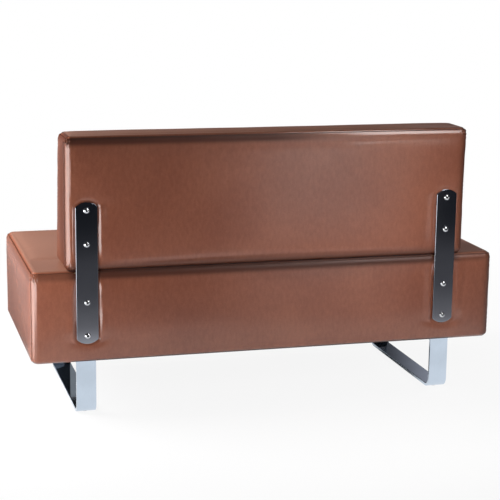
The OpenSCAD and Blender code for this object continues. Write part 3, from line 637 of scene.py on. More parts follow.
    def add_corners(self, out, inset, z, side):
        """Adds a groove to each corner, puckered by its stitches, with a swelling beside it and small folds
        where it meets the edges. Gives also the marks seam and wear, and the painted shade of the rear right
        corner, 1 at its middle."""
        leather, low, high = self.leather, self.low, self.high
        seam, wear = np.zeros_like(out), np.zeros_like(out)
        near_edge = np.exp(-np.maximum(high - z, 0) / 0.013)
        near_edge = near_edge + np.exp(-np.maximum(z - low, 0) / 0.010) * self.is_back
        upright = smooth_step(low - 0.004, low + 0.004, z) * (1 - smooth_step(high, high + 0.012, z))
        for number, (place, sign) in enumerate(zip(self.corner_places, (-1, 1, -1, 1))):
            d = (self.ring - place + self.perimeter / 2) % self.perimeter - self.perimeter / 2
            off = sign * d - leather.seam_shift
            groove = hump(off, leather.seam_width) * upright
            seam = np.maximum(seam, groove)
            pull = 0.00035 * np.sin(2 * math.pi * z / 0.011 + 2 * np.sin(40 * z + place)) * hump(off, 0.007)
            fold = np.sin(d / 0.00115 + 1.6 * np.sin(z / 0.0037 + place) + 2 * place)
            spot = np.cos(z / 0.0016 + 1.7 * np.sin(d / 0.0041))
            folds = leather.gather * (0.65 * fold + 0.35 * spot) * hump(d, 0.013) * near_edge
            out = out - leather.seam_depth * groove + 0.0011 * hump(off, 0.0095) * upright
            out = out + pull * upright + folds * (inset < self.inner_edge * 1.05)
            wear = np.maximum(wear, hump(d, 0.010) * side)
            # The rear right corner gets painted shade where its rounding turns away from the light
            if number == 1:
                right_corner_shade = hump(d, 0.013)
        wear = np.maximum(wear, hump(z - (high + self.edge * 0.5), 0.008)) * (1 - seam)
        return out, seam, wear, right_corner_shade

    def painted_shade(self, x, y, z, inset, right_corner_shade):
        """Share of painted shade: along the top edges and the rear right corner, over the backrest's ends and
        its foot, and a painted shadow on the seat beneath the backrest."""
        nx, kind = self.columns[4], self.columns[6]
        shade = smooth_step(self.high - 0.012, self.high + 0.003, z)
        shade = shade * (1 - smooth_step(0, 0.003, inset - self.inner_edge))
        if self.is_back:
            # On the backrest the painted shade of the top edge fades out towards the right end, where the
            # edge catches its highlight
            shade = shade * (0.10 + 0.90 * smooth_step(-0.24, 0.02, x))
            # The backrest's ends get painted shade, strongest near the rear face
            turned = smooth_step(0.55, 0.95, np.abs(nx))
            face = np.where(kind == CORNER, turned, (kind == LEFT) | (kind == RIGHT))
            end = (0.75 + 0.25 * smooth_step(self.rear - 0.10, self.rear - 0.03, y)) * face
            # Painted shade on the backrest's foot rounding, above the gap to the seat
            foot = 0.9 * (1 - smooth_step(self.foot + 0.002, self.low + 0.016, z))
            shade = np.maximum(np.maximum(shade, end), foot)
        else:
            # Painted shadow of the backrest on the seat's top edge beneath it
            backrest_shadow = (y > self.crown_rear) * (1 - smooth_step(0.535, 0.56, np.abs(x)))
            shade = np.maximum(shade * (0.55 + 0.45 * backrest_shadow), backrest_shadow * (inset >= self.inner_edge * 0.5))
        return self.dark_edge * np.maximum(shade, 0.9 * right_corner_shade) + 0 * x

    def relief(self, inset):
        """The top panel's seam: a groove just inside the top arc, then a low puff of the panel."""
        e = self.inner_edge
        groove = self.leather.seam_depth * hump(inset - e - 0.0006, self.leather.seam_width * 0.7)
        near = np.where(inset > e * 0.3, 1.0, 0.0)
        rise = 0.0010 * smooth_step(e * 0.35, e * 0.95, inset)
        return (rise - groove + 0.0006 * smooth_step(e + 0.002, e + 0.011, inset)) * near

    def crown(self, x, y):
        """Rise of the top: (1 - X^4)(1 - Y^2)^1.2 over its free part, which ends at the backrest."""
        front = self.front_at(self.top) + self.inner_edge
        rear = self.crown_rear - self.inner_edge
        u = np.clip(np.abs(x) / (self.half - self.inner_edge), 0, 1)
        v = np.clip(np.abs((2 * y - front - rear) / (rear - front)), 0, 1)
        return self.top_crown * (1 - u ** 4) * (1 - v ** 2) ** 1.2

    def top_points(self, ring):
        """Coons patch inside the last ring, raised by the relief and the crown."""
        n, m = self.long_side, self.end_side
        closed = np.concatenate([ring, ring[:1]])
        rear, right = closed[:n + 1], closed[n:n + m + 1]
        front, left = closed[n + m:2 * n + m + 1][::-1], closed[2 * n + m:][::-1]
        u = np.linspace(0, 1, n + 1)[None, :, None]
        v = np.linspace(0, 1, m + 1)[:, None, None]
        corners = (1 - u) * (1 - v) * rear[0] + u * (1 - v) * rear[-1]
        corners = corners + (1 - u) * v * front[0] + u * v * front[-1]
        patch = (1 - v) * rear[None] + v * front[None] + (1 - u) * left[:, None] + u * right[:, None]
        patch = patch - corners
        x, y = patch[..., 0], patch[..., 1]
        gap = np.minimum(self.rear_at(self.top) - y, y - self.front_at(self.top))
        gap = np.minimum(self.half - np.abs(x), gap)
        inside = smooth_step(self.inner_edge, self.inner_edge + 0.03, gap)
        z = self.top + self.relief(np.maximum(gap, self.inner_edge + 0.004)) + self.crown(x, y)
        z = z + 0.0008 * ripple(x, y, self.seed + 5) * inside
        z[0], z[-1], z[:, 0], z[:, -1] = patch[0, :, 2], patch[-1, :, 2], patch[:, 0, 2], patch[:, -1, 2]
        return np.stack([x, y, z], -1)

    def shell(self, band, top):
        """Points and quads of the outer band and the top patch, which share the last ring, and which of
        the patch's points are its own."""
        (rows, n), (tm, tn) = band.shape[:2], top.shape[:2]
        order = np.full((tm, tn), -1, int)
        base = (rows - 1) * n
        order[0] = base + np.arange(tn)
        order[:, -1] = base + (self.long_side + np.arange(tm)) % n
        order[-1] = base + (self.long_side + self.end_side + np.arange(tn)[::-1]) % n
        order[:, 0] = base + (2 * self.long_side + self.end_side + np.arange(tm)[::-1]) % n
        free = order < 0
        order[free] = rows * n + np.arange(free.sum())
        verts = np.concatenate([band.reshape(-1, 3), top[free]])
        patch = np.stack([order[:-1, :-1], order[:-1, 1:], order[1:, 1:], order[1:, :-1]], -1).reshape(-1, 4)
        return verts, np.concatenate([grid_faces(rows, n), patch]), free

    def build(self, name, swell):
        """The mesh: outer band, top patch, and an inner skin joined to the hem."""
        band, marks = self.side_points(self.inset, self.height)
        rows, n = band.shape[:2]
        top = self.top_points(band[-1])
        if swell is not None:
            band, top = band + swell[0], top + swell[1]
        outer, quads, free = self.shell(band, top)
        deep = np.array([self.hem, self.foot_round + SKIN * 0.4, SKIN, SKIN, self.edge])
        tall = np.array([self.foot + SKIN, self.foot + SKIN, self.low + SKIN, self.high, self.top - SKIN])
        inner = self.side_points(deep, tall, detail=False)[0]
        inner[-1, :, 2] = self.top - SKIN
        verts = np.concatenate([outer, inner.reshape(-1, 3)])
        start, ring = len(outer), np.arange(n)
        after = (ring + 1) % n
        inside = grid_faces(len(deep), n, start)[:, ::-1]
        hem = np.stack([ring, start + ring, start + after, after], -1)
        last = start + (len(deep) - 1) * n
        faces = np.concatenate([quads, inside, hem]).tolist() + [(last + ring[::-1]).tolist()]
        thing = add_mesh(name, verts, faces)
        x, y = top[free][:, 0], top[free][:, 1]
        # Painted shadow of the backrest on the seat's top patch beneath it
        backrest_shadow = (y > self.crown_rear + 0.02) * (np.abs(x) < BACKREST_END) * (not self.is_back) * 0.9
        for label, values in zip(("seam", "wear", "shade"), marks):
            spread = np.zeros(len(verts))
            spread[:rows * n] = values.ravel()
            if label == "shade":
                spread[rows * n:len(outer)] = backrest_shadow
            mark(thing, label, spread)
        return thing


def sample(field, rows, columns):
    """Bilinear mean of a field of points at fractional rows and columns."""
    r = np.clip(rows.astype(int), 0, field.shape[0] - 2)
    c = np.clip(columns.astype(int), 0, field.shape[1] - 2)
    down, across = (rows - r)[:, None, None], (columns - c)[None, :, None]
    upper = field[r][:, c] * (1 - across) + field[r][:, c + 1] * across
    lower = field[r + 1][:, c] * (1 - across) + field[r + 1][:, c + 1] * across
    return upper * (1 - down) + lower * down


def inflate(verts, faces, hold, leather):
    """Swells a closed cage as cloth under pressure, with no gravity, held by the shares in hold, and gives
    how far its points move. No point goes inwards: its way n along its normal becomes
    (n + sqrt(n^2 + e^2)) / 2. Its whole way d becomes cap * tanh(d / cap)."""
    thing = add_mesh("cage", verts, faces)
    normals, moved = np.empty(len(verts) * 3), np.empty(len(verts) * 3)
    thing.data.vertices.foreach_get("normal", normals)
    normals = normals.reshape(-1, 3)
    group = thing.vertex_groups.new(name="hold")
    for weight in np.unique(hold[hold > 0]).tolist():
        group.add(np.flatnonzero(hold == weight).tolist(), weight, "REPLACE")
    cloth = thing.modifiers.new("Cloth", "CLOTH")
    cloth.settings.quality = 4
    cloth.settings.mass = 0.3
    cloth.settings.tension_stiffness = cloth.settings.compression_stiffness = 40
    cloth.settings.shear_stiffness, cloth.settings.bending_stiffness = 20, 5
    cloth.settings.use_pressure, cloth.settings.uniform_pressure_force = True, leather.pressure
    cloth.settings.vertex_group_mass = "hold"
    cloth.settings.effector_weights.gravity = 0
    cloth.collision_settings.use_collision = False
    cloth.point_cache.frame_start, cloth.point_cache.frame_end = 1, leather.frames + 1
    scene = bpy.context.scene
    for number in range(1, leather.frames + 1):
        scene.frame_set(number)
    thing.evaluated_get(bpy.context.evaluated_depsgraph_get()).data.vertices.foreach_get("co", moved)
    shift = moved.reshape(-1, 3) - verts
    scene.frame_set(1)
    mesh = thing.data
    bpy.data.objects.remove(thing)
    bpy.data.meshes.remove(mesh)
    out = (shift * normals).sum(1)
    shift += normals * ((np.hypot(out, 0.0008) - out) / 2)[:, None]
    far = np.maximum(np.linalg.norm(shift, axis=1), 1e-9)
    return shift * (leather.swell_cap * np.tanh(far / leather.swell_cap) / far)[:, None]


def swollen(fine, cage, leather):
    """How far pressure moves the points of a fine cover. A coarse closed cage of the same form swells,
    held at the hem, under the straps, beneath the backrest and, less firmly, along its seams. The fine
    grid takes its shift from the cage by its shares of the ring's and the profile's lengths, and little
    of it along the top edges."""
    seam_hold, full_hold = 0.4, 1.0
    band = cage.side_points(cage.inset, cage.height, detail=False)[0]
    top = cage.top_points(band[-1])
    verts, quads, free = cage.shell(band, top)
    rows, n = band.shape[:2]
    hold = np.zeros((rows, n))
    hold[:, cage.columns[6] == CORNER] = seam_hold
    hold[-2:] = seam_hold
    hold[cage.height < cage.foot + cage.foot_round * 0.9] = full_hold
    pressed = cage.press(band[..., 0], band[..., 2])[0] * (cage.columns[6] == REAR)
    hold[pressed > 0.3] = full_hold
    beneath = np.where(top[free][:, 1] > cage.crown_rear - 0.02, full_hold, 0.0)
    closing = [list(range(n - 1, -1, -1))]
    shift = inflate(verts, quads.tolist() + closing, np.concatenate([hold.ravel(), beneath]), leather)
    side = shift[:rows * n].reshape(rows, n, 3)
    side = np.concatenate([side, side[:, :1]], 1)
    lid = np.zeros(top.shape)
    long, end = cage.long_side, cage.end_side
    lid[0], lid[-1] = side[-1, :long + 1], side[-1, long + end:2 * long + end + 1][::-1]
    lid[:, -1], lid[:, 0] = side[-1, long:long + end + 1], side[-1, 2 * long + end:][::-1]
    lid[free] = shift[rows * n:]
    down = np.interp(fine.profile, cage.profile, np.arange(rows))
    around = np.append(cage.ring, cage.perimeter)
    along = np.interp(fine.ring / fine.perimeter, around / cage.perimeter, np.arange(n + 1))
    across = along[:fine.long_side + 1] * (lid.shape[1] - 1) / long
    inward = (along[fine.long_side:fine.long_side + fine.end_side + 1] - long) * (lid.shape[0] - 1) / end
    calm = 1 - 0.85 * smooth_step(fine.high - 0.035, fine.high, fine.height)
    u, v = np.linspace(0, 1, fine.long_side + 1)[None], np.linspace(0, 1, fine.end_side + 1)[:, None]
    rim = np.minimum(np.minimum(u, 1 - u) * 2 * fine.half, np.minimum(v, 1 - v) * fine.deep_top)
    fade = 0.15 + 0.85 * smooth_step(0.0, 0.05, rim)
    return sample(side, down, along) * calm[:, None, None], sample(lid, inward, across) * fade[..., None]


def seat_form(leather, counts=FINE_SEAT):
    return Cover(
        leather, counts, seed=11, half=SEAT_HIGH.x - leather.side_crown, rear=STRAP_LOW.y - STRAP_GAP,
        deep_foot=SEAT_DEPTH, deep_top=SEAT_DEPTH, foot=SEAT_LOW.z, top=SEAT_HIGH.z - leather.seat_crown,
        corner=leather.seat_round, foot_round=leather.foot_round, side_crown=leather.side_crown,
        top_crown=leather.seat_crown, crown_rear=BACK_LOW.y + leather.back_crown + 0.012, lean=0.0, hem=0.017,
        strap_low=STRAP_LOW.z, strap_high=BEYOND, dark_edge=leather.seat_painted_shade)


def back_form(leather, counts=FINE_BACK):
    return Cover(
        leather, counts, seed=29, half=BACK_HIGH.x - leather.back_crown, rear=STRAP_LOW.y - STRAP_GAP,
        deep_foot=leather.back_depth_foot, deep_top=leather.back_depth_top, foot=BACK_LOW.z,
        top=BACK_HIGH.z - BACK_PUFF, corner=leather.back_round, foot_round=leather.back_foot_round,
        side_crown=leather.back_crown, top_crown=BACK_PUFF, crown_rear=STRAP_LOW.y + leather.back_lean,
        lean=leather.back_lean, hem=0.016, strap_low=-BEYOND, strap_high=STRAP_HIGH.z,
        dark_edge=leather.back_painted_shade)


def stitches(name, cover, pitch):
    """One mesh of the stitches of the four upright seams: capsules of five rings of six points, raised in
    their middles, on the corner's arc, moved from its middle to the seam's side."""
    zs = np.arange(cover.foot + 0.012, cover.high, pitch)
    angle = math.pi / 4 - cover.leather.seam_shift / cover.corner
    points, outward = [], []
    for sx, sy, face in ((1, 1, cover.rear_at), (1, -1, cover.front_at),
                         (-1, 1, cover.rear_at), (-1, -1, cover.front_at)):
        out = np.array([sx * math.cos(angle), sy * math.sin(angle), 0.0])
        across = np.full_like(zs, sx * (cover.half - cover.corner))
        centre = np.stack([across, face(zs) - sy * cover.corner, zs], -1)
        points.append(centre + out * (cover.corner - cover.leather.seam_depth * 0.8))
        outward.append(np.tile(out, (len(zs), 1)))
    points, outward = np.concatenate(points)[:, None], np.concatenate(outward)[:, None]
    up = np.array([0, 0, 1.0])
    t = np.linspace(0, 1, 5)[:, None]
    centre = points + (t - 0.5) * pitch * 0.86 * up + THREAD * 0.9 * np.sin(np.pi * t) * outward
    size = THREAD * np.sin(np.pi * np.clip(t, 0.04, 0.96)) ** 0.5
    turn = np.linspace(0, 2 * math.pi, 6, endpoint=False)[:, None]
    spoke = np.cos(turn) * outward[:, :, None] + np.sin(turn) * np.cross(up, outward)[:, :, None]
    verts = (centre[:, :, None] + size[:, None] * spoke).reshape(-1, 3)
    faces = []
    for start in range(0, len(verts), 5 * 6):
        faces += tube_faces(5, 6, start)
    return add_mesh(name, verts, faces)


# Operators


class SOFA_OT_leather(bpy.types.Operator):
    """Builds the leather covers of the seat and the backrest with their stitching"""

    bl_idname = "sofa.leather"
    bl_label = "Leather covers"

    def execute(self, context):
        leather = context.scene.sofa_leather
        hide = leather_finish("brown_leather", leather)
        thread = thread_finish("brown_thread", leather)
        for name, form, coarse, node in (("seat_leather", seat_form, COARSE_SEAT, "seat_cover"),
                                         ("backrest_leather", back_form, COARSE_BACK, "back_cover")):
            cover = form(leather)
            swell = swollen(cover, form(leather, coarse), leather)
            piece = cover.build(name, swell)
            dress(piece, hide)
            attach(piece, "root")
            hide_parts(node)
            seam = stitches(name + "_stitches", cover, leather.stitch_pitch)
            dress(seam, thread)
            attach(seam, "root")
        return {"FINISHED"}


def strap_outline(half_w, half_l, arch, shoulder):
    """Points round a strap, counter-clockwise: straight sides, arched ends through the arch's rise, and
    shoulder arcs that touch both. A shoulder's centre is one radius inside the side and inside the arch."""
    r = (half_w ** 2 + arch ** 2) / (2 * arch)
    apex = half_l - r
    cx = half_w - shoulder
    cy = apex + math.sqrt((r - shoulder) ** 2 - cx ** 2)
    meet = math.atan2(cy - apex, cx)
    turn = np.linspace(0, meet, 12)
    corner = np.stack([cx + shoulder * np.cos(turn), cy + shoulder * np.sin(turn)], -1)
    sweep = np.linspace(meet, math.pi - meet, 28)[1:-1]
    end = np.stack([r * np.cos(sweep), apex + r * np.sin(sweep)], -1)
    mirrored = (corner * (-1, 1))[::-1]
    side = np.array([[-half_w, place] for place in (cy - 0.0015, cy * 0.5, 0, -cy * 0.5, 0.0015 - cy)])
    half = np.concatenate([corner, end, mirrored, side])
    return np.concatenate([half, -half])


def offset_outline(outline, distance):
    """Moves a convex outline in by distance along the mean of its edges' normals, divided by the cosine
    of half their angle, so that the edges stay parallel."""
    ahead = np.roll(outline, -1, axis=0) - outline
    ahead /= np.linalg.norm(ahead, axis=1)[:, None]
    behind = np.roll(ahead, 1, axis=0)
    n1 = np.stack([-ahead[:, 1], ahead[:, 0]], -1)
    n0 = np.stack([-behind[:, 1], behind[:, 0]], -1)
    mean = n1 + n0
    mean /= np.linalg.norm(mean, axis=1)[:, None]
    return outline + mean * (distance / np.maximum((mean * n1).sum(1), 0.3))[:, None]


class SOFA_OT_straps(bpy.types.Operator):
    """Builds the two bevelled steel straps"""

    bl_idname = "sofa.straps"
    bl_label = "Straps"

    def execute(self, context):
        metal = context.scene.sofa_metal
        steel = chrome_finish("dark_steel", metal.dark_steel, 0.075, 0.035)
        for side in SIDES:
            low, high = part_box("strap_" + side)
            cx, cz = (low.x + high.x) / 2, (low.z + high.z) / 2
            outline = strap_outline((high.x - low.x) / 2, (high.z - low.z) / 2, metal.strap_arch,
                                    metal.strap_shoulder)[::-1]
            rings = []
            for inset, rise in self.rows(high.y - low.y, metal.strap_bevel):
                flat = offset_outline(outline, -inset)
                depth = np.full(len(flat), low.y + rise)
                rings.append(np.stack([cx + flat[:, 0], depth, cz + flat[:, 1]], -1))
            points = np.array(rings[:1] + rings)
            points[0, :, 0] = cx + (points[1, :, 0] - cx) * 0.97
            faces = tube_faces(len(points), len(outline))
            piece = add_mesh("strap_plate_" + side, points.reshape(-1, 3), faces)
            dress(piece, steel)
            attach(piece, "root")
            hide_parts("strap_" + side)
        return {"FINISHED"}

    @staticmethod
    def rows(thick, bevel, soft=0.00028):
        """Rings from the leather's side to the outer face as pairs of inset and rise: a soft edge, the
        side, the bevel with both its edges softened, and two rings that keep the face flat."""
        return [(soft, 0.0), (0.0, soft), (0.0, thick - bevel - soft),
                (soft * 0.4, thick - bevel + soft * 0.4), (bevel - soft * 0.8, thick - soft * 0.8),
                (bevel - soft * 0.2, thick - soft * 0.15), (bevel + soft * 0.6, thick),
                (bevel + 0.0009, thick), (bevel + 0.004, thick)]


class SOFA_OT_screws(bpy.types.Operator):
    """Builds the eight button-head screws with hexagon sockets"""

    bl_idname = "sofa.screws"
    bl_label = "Strap screws"

    def execute(self, context):
        metal = context.scene.sofa_metal
        steel = chrome_finish("screw_steel", metal.screw_steel, 0.20, 0.06, "socket")
        count = 48
        turn = np.linspace(0, 2 * math.pi, count, endpoint=False)
        key = metal.socket_d / 2
        hexagon = key * math.cos(math.pi / 6) / np.cos((turn % (math.pi / 3)) - math.pi / 6)
        radius, rise, share = (column[:, None] for column in self.profile(metal, key).T)
        ring = radius * (1 - share) + share * hexagon * radius / key
        first, second = metal.hole_end, metal.hole_end + metal.hole_pitch
        heights = (STRAP_LOW.z + first, STRAP_LOW.z + second, STRAP_HIGH.z - first, STRAP_HIGH.z - second)
        turns = (0.35, 0.9, 0.1, 0.62, 0.75, 0.2, 0.5, 0.05)
        verts, faces = [], []
        for number, (sx, z) in enumerate([(s, z) for s in (1, -1) for z in heights]):
            angle, depth = turn + turns[number], STRAP_HIGH.y + rise + 0 * ring
            verts.append(np.stack([sx * STRAP_X - ring * np.cos(angle), depth, z + ring * np.sin(angle)], -1))
            faces += tube_faces(len(ring), count, number * ring.size)
        piece = add_mesh("strap_screw_set", np.concatenate(verts).reshape(-1, 3), faces)
        # The socket's hollow is marked for painted shade, which makes it nearly black
        inside = np.repeat(np.arange(len(ring)) >= len(ring) - 3, count)
        mark(piece, "socket", np.tile(inside, len(verts)))
        piece.data.set_sharp_from_angle(angle=math.radians(38))
        dress(piece, steel)
        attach(piece, "root")
        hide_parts("strap_screws")
        return {"FINISHED"}

    @staticmethod
    def profile(metal, key):
        """Rings from the shank's end over the dome to the socket's floor: radius, height above the strap,
        and how far the ring is a hexagon. The dome's own radius is (r^2 + h^2) / 2h."""
        r, h, shank, under = metal.head_d / 2, metal.head_h, 0.004, -0.0002
        dome = (r ** 2 + h ** 2) / (2 * h)
        rings = [(shank, -0.034, 0), (shank, under, 0), (r * 0.97, under, 0), (r, -under, 0)]
        for s in np.linspace(0, 1, 14):
            edge = (1 - s) * r + s * key * 1.06
            rings.append((edge, h - dome + math.sqrt(max(dome ** 2 - edge ** 2, 0)), s ** 6))
        lip = rings[-1][1]
        for share, depth in ((0.96, 0.00035), (0.93, 0.0023), (0.5, 0.0028), (0.02, 0.0030)):
            rings.append((share * key, lip - depth, 1))
        return np.array(rings)


class SOFA_OT_legs(bpy.types.Operator):
    """Builds the two sled legs of bent flat bar"""

    bl_idname = "sofa.legs"
    bl_label = "Sled legs"

    def execute(self, context):
        metal = context.scene.sofa_metal
        chrome = chrome_finish("leg_chrome", metal.chrome, 0.045, 0.03)
        for side in SIDES:
            low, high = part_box("leg_" + side)
            points, normals = self.path(low, high, metal.leg_t, metal.leg_bend)
            section = self.section((high.x - low.x) / 2, metal.leg_t / 2, metal.leg_edge)
            rings = points[:, None, :] + section[None, :, 1, None] * normals[:, None, :]
            across = np.broadcast_to(((low.x + high.x) / 2 + section[:, 0])[:, None], rings.shape[:2] + (1,))
            verts = np.concatenate([across, rings], -1).reshape(-1, 3)
            piece = add_mesh("sled_leg_" + side, verts, tube_faces(len(points), len(section)))
            piece.data.set_sharp_from_angle(angle=math.radians(50))
            dress(piece, chrome)
            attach(piece, "root")
            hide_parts("leg_" + side)
        return {"FINISHED"}

    @staticmethod
    def path(low, high, t, bend):
        """Middle line of the bar in (y, z) and its unit normals: down the rear upright, round a quarter
        turn, along the floor, round again and up the front upright."""
        r = bend - t / 2
        ry, fy, z0 = high.y - t / 2, low.y + t / 2, low.z + t / 2
        a = np.linspace(0, math.pi / 2, 17)
        up = np.linspace(high.z, z0 + r, 10)[:-1]
        run = np.linspace(ry - r, fy + r, 40)[1:-1]
        points = np.concatenate([
            np.stack([np.full_like(up, ry), up], -1),
            np.stack([ry - r + r * np.cos(a), z0 + r - r * np.sin(a)], -1),
            np.stack([run, np.full_like(run, z0)], -1),
            np.stack([fy + r - r * np.sin(a), z0 + r - r * np.cos(a)], -1),
            np.stack([np.full_like(up, fy), up[::-1]], -1)])
        normals = np.concatenate([
            np.tile([1.0, 0.0], (len(up), 1)),
            np.stack([np.cos(a), -np.sin(a)], -1),
            np.tile([0.0, -1.0], (len(run), 1)),
            np.stack([-np.sin(a), -np.cos(a)], -1),
            np.tile([-1.0, 0.0], (len(up), 1))])
        return points, normals

    @staticmethod
    def section(half_w, half_t, soft):
        """Rounded rectangle round the bar: four quarter circles of radius soft, and a point on the flat
        just before and after each, so that the flats shade flat."""
        out = []
        for number, (sx, sy) in enumerate(((1, 1), (-1, 1), (-1, -1), (1, -1))):
            turn = np.linspace(0, math.pi / 2, 5) + number * math.pi / 2
            ray = np.stack([np.cos(turn), np.sin(turn)], -1)
            arc = np.array([sx * (half_w - soft), sy * (half_t - soft)]) + soft * ray
            before = arc[0] + (arc[0] - arc[1]) * np.abs(ray[0, ::-1]) * 1.5
            after = arc[-1] + (arc[-1] - arc[-2]) * np.abs(ray[-1, ::-1]) * 1.5
            out += [before[None], arc, after[None]]
        return np.concatenate(out)


class SOFA_OT_inner(bpy.types.Operator):
    """Gives the timber, padding, base cloth and fasteners their finishes"""

    bl_idname = "sofa.inner"
    bl_label = "Inner pieces"

    def execute(self, context):
        along_x = timber_finish("timber_long", (0.60, 0.42, 0.24), (0.36, 0.21, 0.10), (0.05, 1.0, 1.0))
        along_y = timber_finish("timber_cross", (0.58, 0.41, 0.23), (0.34, 0.20, 0.10), (1.0, 0.05, 1.0))
        finishes = (
            (along_x, "timber", ("seat_front_rail", "seat_rear_rail", "back_top_rail", "back_foot_rail")),
            (along_y, "timber", ("seat_end_left", "seat_end_right", "seat_centre_rail", "leg_bearer_left",
                                 "leg_bearer_right", "seat_corner_blocks", "back_ribs")),
            (plywood_finish("plywood"), "plywood", ("seat_deck", "back_rear_board", "back_front_panel")),
            (foam_finish("foam"), "foam", ("seat_foam", "seat_wrap", "back_foam", "back_rear_pad",
                                           "back_top_pad", "back_end_pads")),
            (cloth_finish("base_cloth"), "base_cloth", ("seat_dust_cover", "back_closing_cloth")),
            (zinc_finish("zinc"), "zinc", ("leg_bolts", "leg_washers", "leg_tee_nuts", "seat_frame_screws",
                                           "dust_cover_staples", "back_frame_screws", "strap_tee_nuts",
                                           "leg_plate_left", "leg_plate_right", "leg_welds")),
            (plastic_finish("black_plastic"), "glide", ("floor_glides",)),
        )
        for material, slot, nodes in finishes:
            for node in nodes:
                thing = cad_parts[node]
                dress(thing, material)
        return {"FINISHED"}


def soft_box(name, place, aim, wide, tall, power, light=True, gleam=False):
    """Area light at place that faces aim, for the light on matt things, for the gleam on gloss, or both."""
    data = bpy.data.lights.new(name, "AREA")
    data.shape, data.size, data.size_y, data.energy = "RECTANGLE", wide, tall, power
    thing = bpy.data.objects.new(name, data)
    bpy.context.scene.collection.objects.link(thing)
    thing.location = place
    thing.visible_camera, thing.visible_diffuse, thing.visible_glossy = False, light, gleam
    x, y, z = np.array(place, float) - np.array(aim, float)
    thing.rotation_euler = (math.atan2(math.hypot(x, y), z), 0, math.atan2(x, -y))


